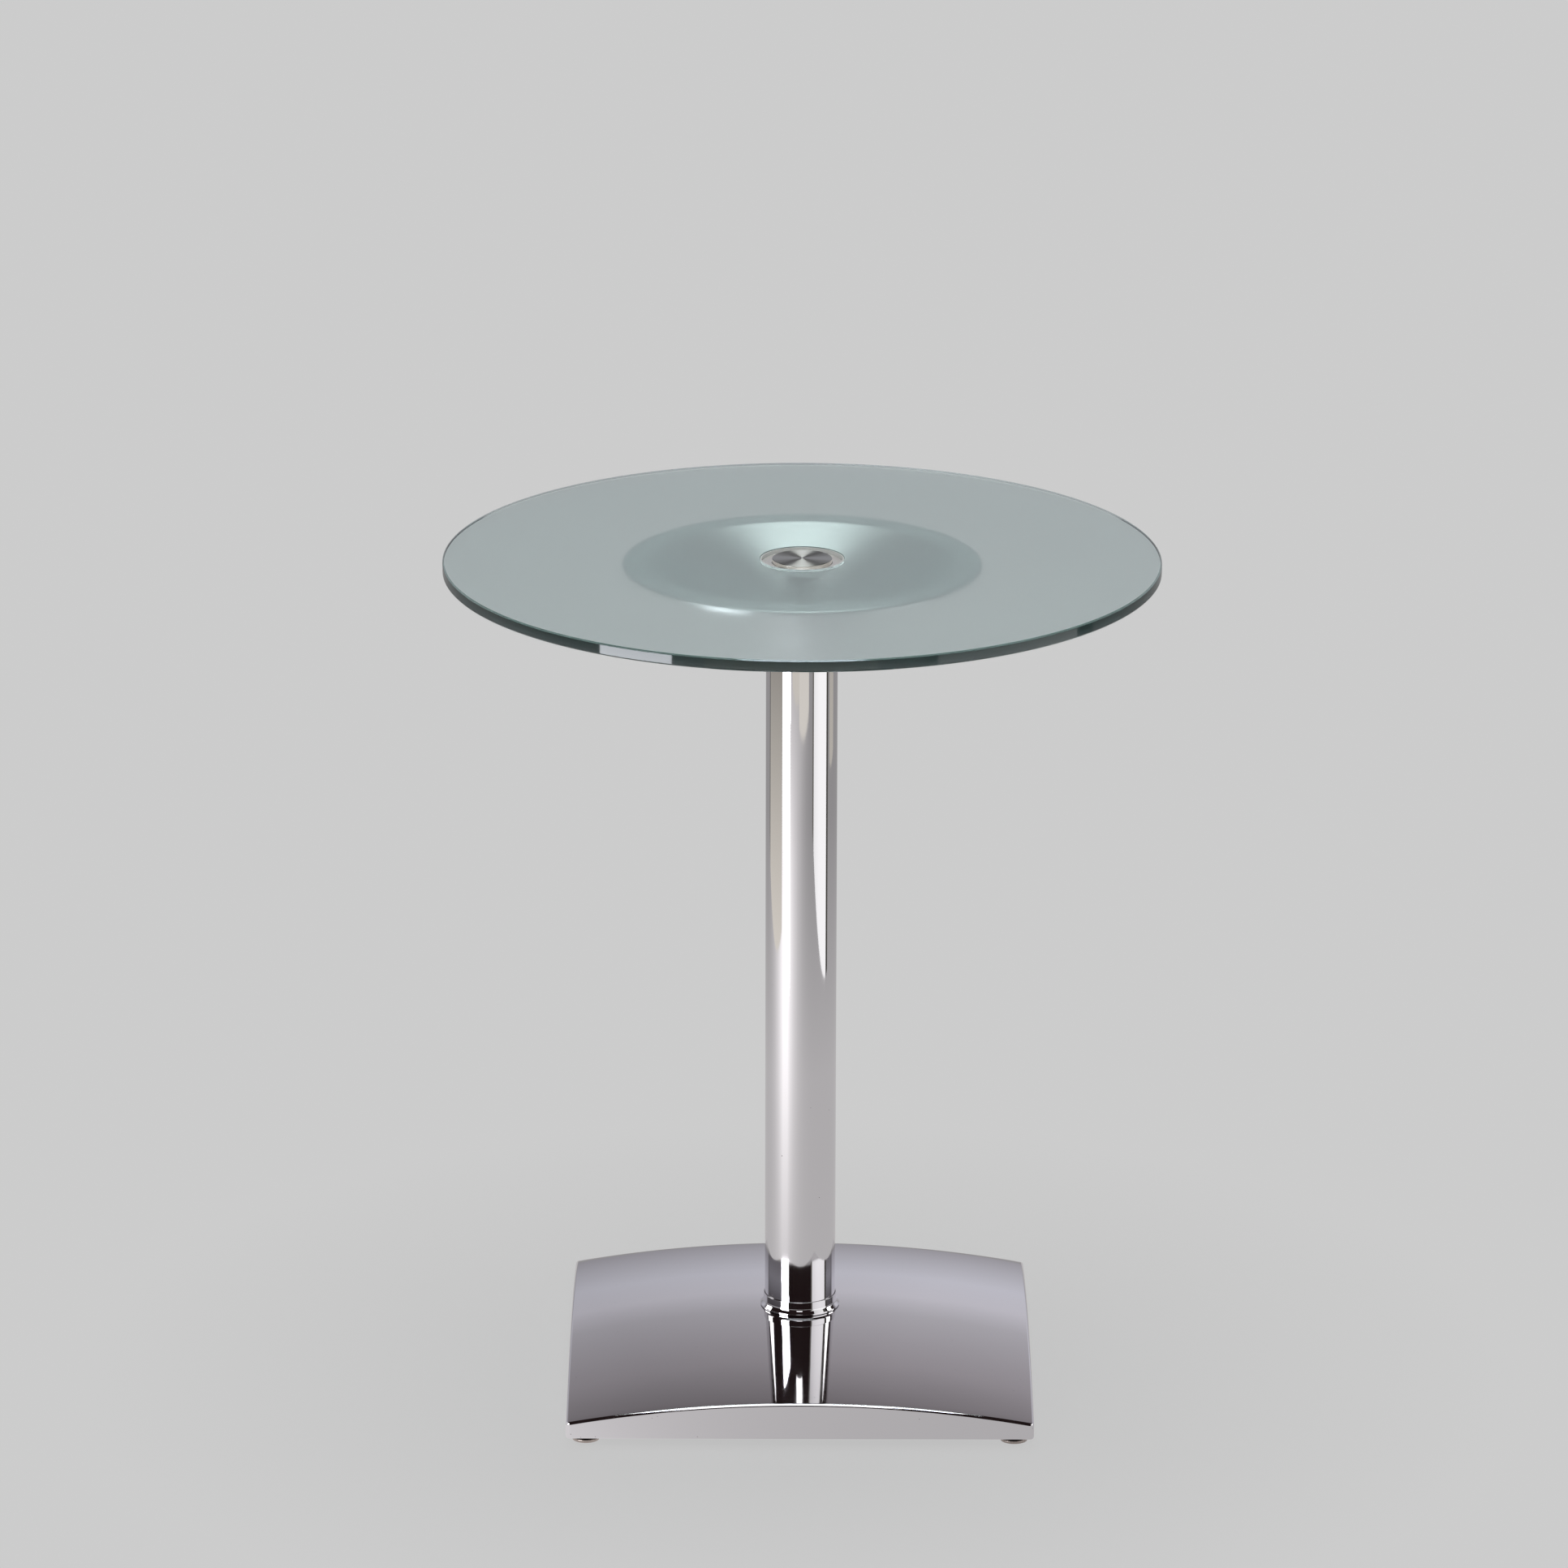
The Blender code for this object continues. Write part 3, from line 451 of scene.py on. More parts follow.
def make_sheet(name, turns, nearest, far, levels_of_light, warmth):
    """A sheet lying on the floor with a straight near edge, that shines upwards."""
    places = []
    for step in range(SHEET_STEPS + 1):
        turn = turns[0] + (turns[1] - turns[0]) * step / SHEET_STEPS
        near = nearest[1] / math.cos(math.radians(turn - nearest[0]))
        places += [in_plan(turn, near, SHEET_LIFT), in_plan(turn, far, SHEET_LIFT)]
    faces = [(2 * k, 2 * k + 1, 2 * k + 3, 2 * k + 2) for k in range(SHEET_STEPS)]
    mesh = bpy.data.meshes.new(name)
    mesh.from_pydata(places, [], faces)
    if mesh.polygons[0].normal.z < 0:
        mesh.flip_normals()
    add_card(name, mesh, levels_of_light[0], warmth, levels_of_light[1], (nearest[1], far))


for sheet in SHEETS:
    make_sheet(*sheet)
print("sheets:", len(SHEETS))

# %% [markdown]
# Lamps do the lighting of matt things and of the dish under the glass: a row of three overhead, and a soft
# fill from each side that metal doesn't see. The row gets narrower towards the back, because seen from
# the turned cap that gives its bow tie straight edges. The power of each is worked out from how bright its
# face is.

# %% Lamps
ROW_LEVEL = 2.55
ROW_DEPTH = 0.63
ROW_BRIGHTNESS = 3.9
LAMPS = (
    # name, place, point it faces, width, height, brightness, seen in metal
    ("overhead_front", (0.0, -0.015, ROW_LEVEL), (0.0, -0.015, 0.0), 1.25, ROW_DEPTH, ROW_BRIGHTNESS, True),
    ("overhead_middle", (0.0, 0.615, ROW_LEVEL), (0.0, 0.615, 0.0), 1.02, ROW_DEPTH, ROW_BRIGHTNESS, True),
    ("overhead_rear", (0.0, 1.245, ROW_LEVEL), (0.0, 1.245, 0.0), 0.73, ROW_DEPTH, ROW_BRIGHTNESS, True),
    ("left_fill", (-2.2, -1.6, 1.9), (0.0, 0.0, 0.4), 1.6, 1.6, 2.2, False),
    ("right_fill", (2.4, -1.2, 1.7), (0.0, 0.0, 0.4), 1.6, 1.6, 1.4, False),
)


def add_lamp(name, place, target, width, height, brightness, mirrored):
    lamp = bpy.data.lights.new(name, "AREA")
    lamp.shape = "RECTANGLE"
    lamp.size = width
    lamp.size_y = height
    lamp.energy = brightness * math.pi * width * height
    panel = put_in_scene(name, lamp)
    panel.location = place
    panel.rotation_euler = (Vector(target) - Vector(place)).to_track_quat("-Z", "Y").to_euler()
    panel.visible_camera = False
    panel.visible_glossy = mirrored
    panel.visible_transmission = mirrored


for lamp in LAMPS:
    add_lamp(*lamp)
print("lamps:", len(LAMPS))

# %% [markdown]
# Several finishes share the same small faults. A shader group holds one such effect once, with named
# inputs, and each material places it with its own values. The first spreads a value softly over the
# surface, as handling and polishing do.

# %% Shader group: soft variation
CLOUD_SPAN = (0.32, 0.68)


def new_group(name, numbers, results):
    """An empty shader group that reads a place and some numbers, with its inner sockets."""
    group = bpy.data.node_groups.new(name, "ShaderNodeTree")
    group.interface.new_socket("Place", in_out="INPUT", socket_type="NodeSocketVector")
    for label, value in numbers.items():
        socket = group.interface.new_socket(label, in_out="INPUT", socket_type="NodeSocketFloat")
        socket.default_value = value
    for label in results:
        group.interface.new_socket(label, in_out="OUTPUT", socket_type="NodeSocketFloat")
    return group, add_node(group, "NodeGroupInput").outputs, add_node(group, "NodeGroupOutput").inputs


def noise(tree, vector, scale, detail=2.0, roughness=0.5):
    node = add_node(tree, "ShaderNodeTexNoise")
    feed(tree, node.inputs["Vector"], vector)
    feed(tree, node.inputs["Scale"], scale)
    node.inputs["Detail"].default_value = detail
    node.inputs["Roughness"].default_value = roughness
    return node.outputs["Fac"]


def make_soft_variation():
    numbers = {"Scale": 20.0, "Least": 0.0, "Most": 1.0}
    group, given, out = new_group("soft_variation", numbers, ("Value",))
    cloud = noise(group, given["Place"], given["Scale"], detail=4.0, roughness=0.62)
    feed(group, out["Value"], spread(group, cloud, *CLOUD_SPAN, given["Least"], given["Most"]))
    return group


SOFT_VARIATION = make_soft_variation()
print("group:", SOFT_VARIATION.name)

# %% [markdown]
# A lathe tool leaves rings too fine to model. The second group draws them: noise read along the
# distance from the axis and the height only, so that it is the same all the way round, with a faint
# change along each ring. It gives a height for a Bump node and a value for the roughness.

# %% Shader group: turned rings
RING_SPAN = (0.35, 0.65)
RING_SHARE = 0.7
DRIFT_SCALE = 35.0


def make_turned_rings():
    numbers = {"Rings per Metre": 2500.0, "Least": 0.2, "Most": 0.4}
    group, given, out = new_group("turned_rings", numbers, ("Height", "Value"))
    x, y, z = axes_of(group, given["Place"])
    density = given["Rings per Metre"]
    outward = calc(group, "MULTIPLY", length_of(group, vector_of(group, x, y)), density)
    upward = calc(group, "MULTIPLY", z, density)
    rings = noise(group, vector_of(group, outward, upward), 1.0, detail=3.0, roughness=0.7)
    drift = calc(group, "MULTIPLY", noise(group, given["Place"], DRIFT_SCALE), 1 - RING_SHARE)
    mixed = calc(group, "ADD", calc(group, "MULTIPLY", rings, RING_SHARE), drift)
    feed(group, out["Height"], rings)
    feed(group, out["Value"], spread(group, mixed, *RING_SPAN, given["Least"], given["Most"]))
    return group


TURNED_RINGS = make_turned_rings()
print("group:", TURNED_RINGS.name)

# %% [markdown]
# Dust and tiny pits sit on every shiny thing. The third group scatters them: a cell pattern keeps only
# the smallest cores of some of its cells, so the spots are few and round. It gives a mask.

# %% Shader group: specks
SPOT_SPREAD = 0.3
SPOT_EDGE = 0.01


def make_specks():
    numbers = {"Cells per Metre": 60.0, "Spot Share": 0.04, "Kept Share": 0.3}
    group, given, out = new_group("specks", numbers, ("Mask",))
    cells = add_node(group, "ShaderNodeTexVoronoi")
    feed(group, cells.inputs["Vector"], given["Place"])
    feed(group, cells.inputs["Scale"], given["Cells per Metre"])
    pick, size, _ = axes_of(group, cells.outputs["Color"])
    kept = calc(group, "LESS_THAN", pick, given["Kept Share"])
    reach = calc(group, "MULTIPLY", given["Spot Share"], calc(group, "ADD", size, SPOT_SPREAD))
    core = spread(group, calc(group, "SUBTRACT", reach, cells.outputs["Distance"]), 0.0, SPOT_EDGE, 0.0, 1.0)
    feed(group, out["Mask"], calc(group, "MULTIPLY", core, kept))
    return group


SPECKS = make_specks()
print("group:", SPECKS.name)

# %% [markdown]
# Every material starts the same way: a Principled shader, and a place on the piece to read patterns
# from. Object coordinates serve everywhere here, because each piece lies in its own mesh at its real
# place. Values that don't change over a surface are set on the shader itself.


# %% Material helpers
def new_material(name, color, metallic, roughness, **plain):
    """A material, its tree, its Principled shader and its Object coordinates."""
    material = bpy.data.materials.new(name)
    material.use_nodes = True
    tree = material.node_tree
    shader = tree.nodes["Principled BSDF"]
    shader.inputs["Base Color"].default_value = (*color, 1)
    shader.inputs["Metallic"].default_value = metallic
    shader.inputs["Roughness"].default_value = roughness
    for label, value in plain.items():
        shader.inputs[label.replace("_", " ")].default_value = value
    material.diffuse_color = (*color, 1)
    return material, tree, shader, add_node(tree, "ShaderNodeTexCoord").outputs["Object"]


def use_group(tree, group, **values):
    """Place a shader group with values for its inputs, and return its outputs."""
    node = add_node(tree, "ShaderNodeGroup", node_tree=group)
    for label, value in values.items():
        feed(tree, node.inputs[label.replace("_", " ")], value)
    return node.outputs


def soft(tree, place, scale, least=0.0, most=1.0):
    """A value that wanders softly over the surface."""
    return use_group(tree, SOFT_VARIATION, Place=place, Scale=scale, Least=least, Most=most)["Value"]


def bump(tree, shader, height, strength, distance):
    node = add_node(tree, "ShaderNodeBump")
    feed(tree, node.inputs["Height"], height)
    node.inputs["Strength"].default_value = strength
    node.inputs["Distance"].default_value = distance
    feed(tree, shader.inputs["Normal"], node.outputs["Normal"])


print("material helpers ready")

# %% [markdown]
# Float glass is faintly green. Through ten millimetres that hardly shows, and through a whole table top,
# seen at the rim, it is almost black. So the green isn't painted on: the volume takes up light along
# its way. The underside is satin etched, which is only a rough face of the same glass, picked out by its
# height. The ground face of the rim, picked out by its distance from the axis, is given a near-black
# colour: painted shade on top of the darkness that the volume gives the rim.
# Lamps would be lost behind such glass, so for their rays it is plainly transparent.

# %% Glass
GLASS_TINT = (0.14, 0.42, 0.38, 1)
GLASS_DENSITY = 31.5
GLASS_IOR = 1.52
ETCH_CLOUDS = 9.0
WIPE_CLOUDS = 14.0
ETCHED_ROUGHNESS = (0.36, 0.42)
WIPED_ROUGHNESS = (0.03, 0.05)
ETCH_DEPTH = 0.05 * MM
GROUND_DEPTH = 0.10 * MM
CLEAR = (1, 1, 1, 1)
RIM_PAINTED_SHADE = (0.05, 0.05, 0.055, 1)
LAMP_TINT = (0.86, 0.90, 0.89, 1)


def let_lamps_through(tree, shader, tint):
    """Make a glassy shader transparent to the rays that look for lamps."""
    for_lamps = add_node(tree, "ShaderNodeLightPath").outputs["Is Shadow Ray"]
    clear = add_node(tree, "ShaderNodeBsdfTransparent")
    clear.inputs["Color"].default_value = tint
    surface = tree.nodes["Material Output"].inputs["Surface"]
    feed(tree, surface, either(tree, for_lamps, shader.outputs[0], clear.outputs[0]))


def make_glass(underside, rim_radius):
    material, tree, shader, place = new_material(
        "frosted_glass", (1, 1, 1), 0.0, 0.0, Transmission_Weight=1.0, IOR=GLASS_IOR
    )
    x, y, z = axes_of(tree, place)
    etched = calc(tree, "LESS_THAN", z, underside + ETCH_DEPTH)
    etch = soft(tree, place, ETCH_CLOUDS, *ETCHED_ROUGHNESS)
    wiped = soft(tree, place, WIPE_CLOUDS, *WIPED_ROUGHNESS)
    rough = calc(tree, "MULTIPLY_ADD", etched, calc(tree, "SUBTRACT", etch, wiped), wiped)
    feed(tree, shader.inputs["Roughness"], rough)
    reach = length_of(tree, vector_of(tree, x, y))
    ground = calc(tree, "GREATER_THAN", reach, rim_radius - GROUND_DEPTH)
    # Painted shade: the rim's ground face gets a near-black colour.
    feed(tree, shader.inputs["Base Color"], blend_color(tree, ground, CLEAR, RIM_PAINTED_SHADE))
    volume = add_node(tree, "ShaderNodeVolumeAbsorption")
    volume.inputs["Color"].default_value = GLASS_TINT
    volume.inputs["Density"].default_value = GLASS_DENSITY
    feed(tree, tree.nodes["Material Output"].inputs["Volume"], volume.outputs[0])
    let_lamps_through(tree, shader, LAMP_TINT)
    return material


glass = make_glass(levels("glass_top")[0], TABLE_RADIUS)
print("glass:", glass.name)

# %% [markdown]
# Clear and milky plastics carry light too. They are small here, so a plain transmissive shader with a
# soft surface is enough.

# %% Plastic
PLASTIC_IOR = 1.49
PLASTIC_CLOUDS = 120.0
PLASTIC_ROUGHNESS = (0.32, 0.42)
PLASTIC_LAMP_TINT = (0.7, 0.72, 0.72, 1)


def make_plastic():
    material, tree, shader, place = new_material(
        "clear_plastic", (0.84, 0.85, 0.83), 0.0, 0.35, Transmission_Weight=0.25, IOR=PLASTIC_IOR
    )
    feed(tree, shader.inputs["Roughness"], soft(tree, place, PLASTIC_CLOUDS, *PLASTIC_ROUGHNESS))
    let_lamps_through(tree, shader, PLASTIC_LAMP_TINT)
    return material


plastic = make_plastic()
print("plastic:", plastic.name)

# %% [markdown]
# Turned metal shines in a bow tie, because its rings spread light only away from the axis and towards
# it. The shader does this with Anisotropic, and its Tangent socket takes the direction of the spread:
# here simply the way out from the axis, worked out from the place on the piece. The valleys of the rings
# are painted a little darker, a painted shade in the grooves. The cap's dark face keeps a smoother
# upright wall, painted much brighter: a painted highlight.

# %% Turned and spun metals
WALL_TO_FACE = (0.1, 0.4, 0.0, 1.0)
HAIR_UPWARDS = (0, 0, 0.05)
RING_PAINTED_SHADE = 0.9
RING_DEPTH = 0.02 * MM
CAP_PAINTED_WALL_LIGHT = (0.95, 0.91, 0.86)


def outwards(tree, place):
    """The direction away from the upright axis, with a hair of upwards for the upright walls."""
    x, y, _ = axes_of(tree, place)
    unit = add_node(tree, "ShaderNodeVectorMath", operation="NORMALIZE")
    feed(tree, unit.inputs[0], vector_of(tree, x, y))
    lifted = add_node(tree, "ShaderNodeVectorMath", operation="ADD")
    feed(tree, lifted.inputs[0], unit.outputs["Vector"])
    lifted.inputs[1].default_value = HAIR_UPWARDS
    return lifted.outputs["Vector"]


def upward_part(tree):
    """How far the surface looks up: 1 on a level face and 0 on an upright wall."""
    return axes_of(tree, add_node(tree, "ShaderNodeNewGeometry").outputs["Normal"])[2]


def make_turned_metal(name, color, rings, roughness, anisotropic, relief, wall_share=1.0, painted_wall_light=None):
    """Metal off the lathe. Its upright walls are smoother where the wall share is below 1, and take a
    brighter colour, a painted highlight, where one is given. Ring valleys are painted darker as painted
    shade.
    """
    least, most = roughness
    material, tree, shader, place = new_material(name, color, 1.0, most, Anisotropic=anisotropic)
    marks = use_group(tree, TURNED_RINGS, Place=place, Rings_per_Metre=rings, Least=least, Most=most)
    level = spread(tree, upward_part(tree), *WALL_TO_FACE)
    smoother = calc(tree, "MULTIPLY_ADD", level, 1.0 - wall_share, wall_share)
    feed(tree, shader.inputs["Roughness"], calc(tree, "MULTIPLY", marks["Value"], smoother))
    feed(tree, shader.inputs["Tangent"], outwards(tree, place))
    # Painted shade: the valleys of the rings are coloured a little darker than their crests.
    darker = tuple(RING_PAINTED_SHADE * c for c in color)
    ringed = spread(tree, marks["Height"], *RING_SPAN, 0, 1)
    face = blend_color(tree, ringed, (*darker, 1), (*color, 1))
    # Painted highlight: upright walls may take a brighter colour than the face.
    feed(tree, shader.inputs["Base Color"], blend_color(tree, level, (*(painted_wall_light or color), 1), face))
    bump(tree, shader, marks["Height"], relief, RING_DEPTH)
    return material


# The cap's bright wall colour is a painted highlight against its dark face.
cap_metal = make_turned_metal(
    "turned_steel", (0.36, 0.375, 0.355), rings=5200.0, roughness=(0.31, 0.37), anisotropic=1.0, relief=0.15,
    wall_share=0.45, painted_wall_light=CAP_PAINTED_WALL_LIGHT
)
ring_metal = make_turned_metal(
    "turned_aluminium", (0.83, 0.83, 0.80), rings=3000.0, roughness=(0.42, 0.56), anisotropic=0.5, relief=0.5
)
post_metal = make_turned_metal(
    "turned_alloy", (0.96, 0.95, 0.93), rings=900.0, roughness=(0.5, 0.6), anisotropic=0.0, relief=0.3
)
spun_metal = make_turned_metal(
    "spun_aluminium", (0.86, 0.87, 0.87), rings=1400.0, roughness=(0.23, 0.30), anisotropic=0.6, relief=0.15
)
print("turned metals:", cap_metal.name, ring_metal.name, post_metal.name, spun_metal.name)

# %% [markdown]
# Chrome plate is the mirror of the piece. A perfect mirror looks like a drawing, so three things are
# off by a little: the surface waves over a few centimetres, as pressed and drawn steel does, wiping
# has left it less sharp in places, and there are a few specks. The feet rub on floors, so theirs is
# duller. Theirs is also painted darker and warmer: painted shade for the shadow under the base.

# %% Chrome
CHROME_CLOUDS = 18.0
CHROME_CELLS = 125.0
CHROME_SPOT_SHARE = 0.06
CHROME_PIT = (0.16, 0.14, 0.14, 1)
PITS_BY_SLOPE = (0.3, 0.8, 1.0, 0.25)
PIT_ROUGHNESS = 0.4
FOOT_ROUGHNESS = (0.22, 0.30)


def make_chrome(name, color, waves, wave_depth, spots_kept, roughness=WIPED_ROUGHNESS):
    material, tree, shader, place = new_material(name, color, 1.0, 0.05)
    wiped = soft(tree, place, CHROME_CLOUDS, *roughness)
    dust = use_group(
        tree, SPECKS, Place=place, Cells_per_Metre=CHROME_CELLS, Spot_Share=CHROME_SPOT_SHARE,
        Kept_Share=spots_kept
    )
    pitted = calc(tree, "MULTIPLY", dust["Mask"], spread(tree, upward_part(tree), *PITS_BY_SLOPE))
    duller = calc(tree, "MULTIPLY", pitted, PIT_ROUGHNESS)
    feed(tree, shader.inputs["Roughness"], calc(tree, "ADD", wiped, duller))
    feed(tree, shader.inputs["Base Color"], blend_color(tree, pitted, (*color, 1), CHROME_PIT))
    bump(tree, shader, noise(tree, place, waves, detail=1.0), 1.0, wave_depth)
    return material


chrome = make_chrome("chrome", (0.78, 0.765, 0.785), waves=22.0, wave_depth=0.05 * MM, spots_kept=0.6)
tube_chrome = make_chrome(
    "tube_chrome", (0.80, 0.785, 0.80), waves=30.0, wave_depth=0.012 * MM, spots_kept=0.08
)
# Painted shade: the feet's dark, warm colour stands for the shadow they stand in under the base.
foot_chrome = make_chrome(
    "foot_chrome", (0.43, 0.375, 0.345), waves=60.0, wave_depth=0.02 * MM, spots_kept=0.3,
    roughness=FOOT_ROUGHNESS
)
print("chrome:", chrome.name, tube_chrome.name, foot_chrome.name)

# %% [markdown]
# Zinc plate is dull and blotchy, with a bluish and a warm tone side by side. The steel plate inside the
# base is painted black, with dusty patches and small chips where bare steel shows.

# %% Zinc and paint
ZINC_BLUISH = (0.56, 0.58, 0.62, 1)
ZINC_WARM = (0.68, 0.66, 0.62, 1)
ZINC_BLOTCHES = 160.0
ZINC_ROUGHNESS = (0.28, 0.42)
PAINT_CLEAN = (0.022, 0.022, 0.024, 1)
PAINT_DUSTY = (0.06, 0.058, 0.055, 1)
PAINT_DUST = 22.0
PAINT_ROUGHNESS = (0.42, 0.68)
PAINT_GRAIN = 900.0
PAINT_GRAIN_DEPTH = 0.08 * MM
BARE_STEEL = (0.38, 0.36, 0.34, 1)


def make_zinc():
    material, tree, shader, place = new_material("zinc_plate", (0.62, 0.63, 0.64), 1.0, 0.35)
    blotch = soft(tree, place, ZINC_BLOTCHES)
    feed(tree, shader.inputs["Base Color"], blend_color(tree, blotch, ZINC_BLUISH, ZINC_WARM))
    feed(tree, shader.inputs["Roughness"], spread(tree, blotch, 0, 1, *ZINC_ROUGHNESS))
    return material


def make_paint():
    material, tree, shader, place = new_material("ballast_paint", (0.03, 0.03, 0.032), 0.0, 0.5)
    dusty = soft(tree, place, PAINT_DUST)
    chips = use_group(tree, SPECKS, Place=place, Cells_per_Metre=90.0, Spot_Share=0.09, Kept_Share=0.18)
    painted = blend_color(tree, dusty, PAINT_CLEAN, PAINT_DUSTY)
    feed(tree, shader.inputs["Base Color"], blend_color(tree, chips["Mask"], painted, BARE_STEEL))
    feed(tree, shader.inputs["Metallic"], chips["Mask"])
    feed(tree, shader.inputs["Roughness"], spread(tree, dusty, 0, 1, *PAINT_ROUGHNESS))
    bump(tree, shader, noise(tree, place, PAINT_GRAIN, detail=3.0), 0.35, PAINT_GRAIN_DEPTH)
    return material


zinc = make_zinc()
paint = make_paint()
print("zinc and paint:", zinc.name, paint.name)

# %% [markdown]
# A turned piece is an outline swept round an axis. Blender could do it with a Screw modifier; here the
# rings are laid by hand, because that also lets the lesson give every corner its exact normal. Fillets
# then run smoothly into long flat faces, which matters on a mirror. An outline runs down its outer side,
# and its corners are rounded first.

# %% Rounded outlines
FILLET_STEP = math.radians(11)


def rounded(corners, closed):
    """Points and, on fillets, normals of an outline given as (radius, height, fillet) corners."""
    outline = []
    for index, (x, z, fillet) in enumerate(corners):
        corner = Vector((x, z))
        if fillet == 0 or (not closed and index in (0, len(corners) - 1)):
            outline.append((corner, None))
            continue
        before = (Vector(corners[index - 1][:2]) - corner).normalized()
        after = (Vector(corners[(index + 1) % len(corners)][:2]) - corner).normalized()
        half = before.angle(after) / 2
        centre = corner + (before + after).normalized() * (fillet / math.sin(half))
        spoke = corner + before * (fillet / math.tan(half)) - centre
        turn = math.pi - 2 * half
        way = 1 if spoke.x * after.y - spoke.y * after.x > 0 else -1
        bulge = 1 if Vector((before.y, -before.x)).dot(spoke) > 0 else -1
        steps = max(2, math.ceil(turn / FILLET_STEP))
        for step in range(steps + 1):
            angle = way * turn * step / steps
            cos, sin = math.cos(angle), math.sin(angle)
            arm = Vector((cos * spoke.x - sin * spoke.y, sin * spoke.x + cos * spoke.y))
            outline.append((centre + arm, arm.normalized() * bulge))
    return outline


square = rounded(((1, 0, 0), (1, 1, 0.1), (0, 1, 0), (0, 0, 0)), True)
print("a square with one round corner has", len(square), "points")

# %% [markdown]
# The sweep lays one ring of vertices for each point of the outline, or a single vertex where the outline
# meets the axis, so poles are closed. On a straight run both ends take the run's own normal. On a fillet
# each point brings the fillet's.

# %% Turned pieces
ON_AXIS = 0.001 * MM


def turned(name, corners, steps, centre=(0, 0), closed=True):
    """Sweep an outline round an upright axis, with the corners' exact normals."""
    outline = rounded(corners, closed)
    pairs = list(zip(outline, outline[1:] + outline[:1] if closed else outline[1:]))
    places, rings = [], []
    for point, _ in outline:
        count = 1 if point.x < ON_AXIS else steps
        rings.append([len(places) + k for k in range(count)])
        for k in range(count):
            angle = math.tau * k / steps
            x = centre[0] + point.x * math.cos(angle)
            y = centre[1] + point.x * math.sin(angle)
            places.append((x, y, point.y))
    faces, normals = [], []
    for i, ((start, start_normal), (end, end_normal)) in enumerate(pairs):
        down = (end - start).normalized()
        side = Vector((-down.y, down.x))
        upper = (rings[i], start_normal)
        lower = (rings[(i + 1) % len(rings)], end_normal)
        for k in range(steps):
            corners_here = []
            for (ring, normal), step in ((upper, k), (lower, k), (lower, k + 1), (upper, k + 1)):
                vertex = ring[step % len(ring)]
                if any(vertex == other for other, _ in corners_here):
                    continue
                angle = math.tau * (step if len(ring) > 1 else k + 0.5) / steps
                out = normal or side
                corners_here.append((vertex, (out.x * math.cos(angle), out.x * math.sin(angle), out.y)))
            faces.append([vertex for vertex, _ in corners_here])
            normals += [normal for _, normal in corners_here]
    mesh = bpy.data.meshes.new(name)
    mesh.from_pydata(places, [], faces)
    mesh.shade_smooth()
    mesh.normals_split_custom_set(normals)
    return put_in_scene(name, mesh)


def hand_over(piece, body, slot, material, *nodes):
    """Finish a piece: its material, the body it rides on and the solids it stands for. The slot is not used.
    """
    piece.data.materials.clear()
    piece.data.materials.append(material)
    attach(piece, body)
    if nodes:
        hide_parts(*nodes)
    piece.data.calc_loop_triangles()
    print(f"{piece.name}: {len(piece.data.loop_triangles)} triangles")


print("lathe ready")

# %% [markdown]
# The glass disc comes first. Its ground rim is flat with a polished arris above and below, and each
# arris has a hair of rounding on both sides, which is what catches the thin bright lines. A disc with a
# Bevel modifier would come close, but the outline gives the two arrises and the hole in one go.

# %% Glass top
GLASS_STEPS = 288
ARRIS = 1.2 * MM
ARRIS_SOFTENING = 0.25 * MM
HOLE_ARRIS = 0.08 * MM

hole, rim = radii("glass_top")
low, high = levels("glass_top")
glass_corners = (
    (rim - ARRIS, high, ARRIS_SOFTENING),
    (rim, high - ARRIS, ARRIS_SOFTENING),
    (rim, low + ARRIS, ARRIS_SOFTENING),
    (rim - ARRIS, low, 0),
    (hole + HOLE_ARRIS, low, 0),
    (hole, low + HOLE_ARRIS, 0),
    (hole, high - HOLE_ARRIS, 0),
    (hole + HOLE_ARRIS, high, 0),
)
hand_over(turned("glass_disc", glass_corners, GLASS_STEPS), "table", "frosted_glass", glass, "glass_top")

# %% [markdown]
# In the hole sit three turned pieces: a plastic sleeve against the glass, a satin ring sunk a little
# below it, and the cap, level with the glass. Their edges are broken by a few tenths of a millimetre,
# because a sharp edge would catch no light at all.

# %% Hub
HUB_STEPS = 144
CAP_CHAMFER = 0.4 * MM
EDGE_BREAK = 0.15 * MM


def ring_corners(node, outer_break, inner_break):
    """The outline of a plain ring, with its two upper edges broken."""
    inner, outer = radii(node)
    low, high = levels(node)
    return (outer, high, outer_break), (outer, low, 0), (inner, low, 0), (inner, high, inner_break)


liner_sleeve = turned("liner_sleeve", ring_corners("hole_liner", EDGE_BREAK, EDGE_BREAK), HUB_STEPS)
hand_over(liner_sleeve, "table", "clear_plastic", plastic, "hole_liner")
hub_ring = turned("hub_ring", ring_corners("centring_ring", CAP_CHAMFER, EDGE_BREAK), HUB_STEPS)
hand_over(hub_ring, "table", "satin_aluminium", ring_metal, "centring_ring")

cap_radius = radii("top_cap")[1]
low, high = levels("top_cap")
shoulder = levels("centring_ring")[0]
spigot = radii("hub_washer")[1]
cap_corners = (
    (0, high, 0),
    (cap_radius - CAP_CHAMFER, high, EDGE_BREAK),
    (cap_radius, high - CAP_CHAMFER, EDGE_BREAK),
    (cap_radius, shoulder, 0),
    (spigot, shoulder, 0),
    (spigot, low, 0),
    (0, low, 0),
)
hub_cap = turned("hub_cap", cap_corners, HUB_STEPS, closed=False)
hand_over(hub_cap, "table", "turned_steel", cap_metal, "top_cap")

# %% [markdown]
# Under them the hub post, a spool with filleted waist, clamps the dish onto the column's head. It is
# seen only as a soft shape through the glass, yet the dish mirrors it, so its fillets are modelled.

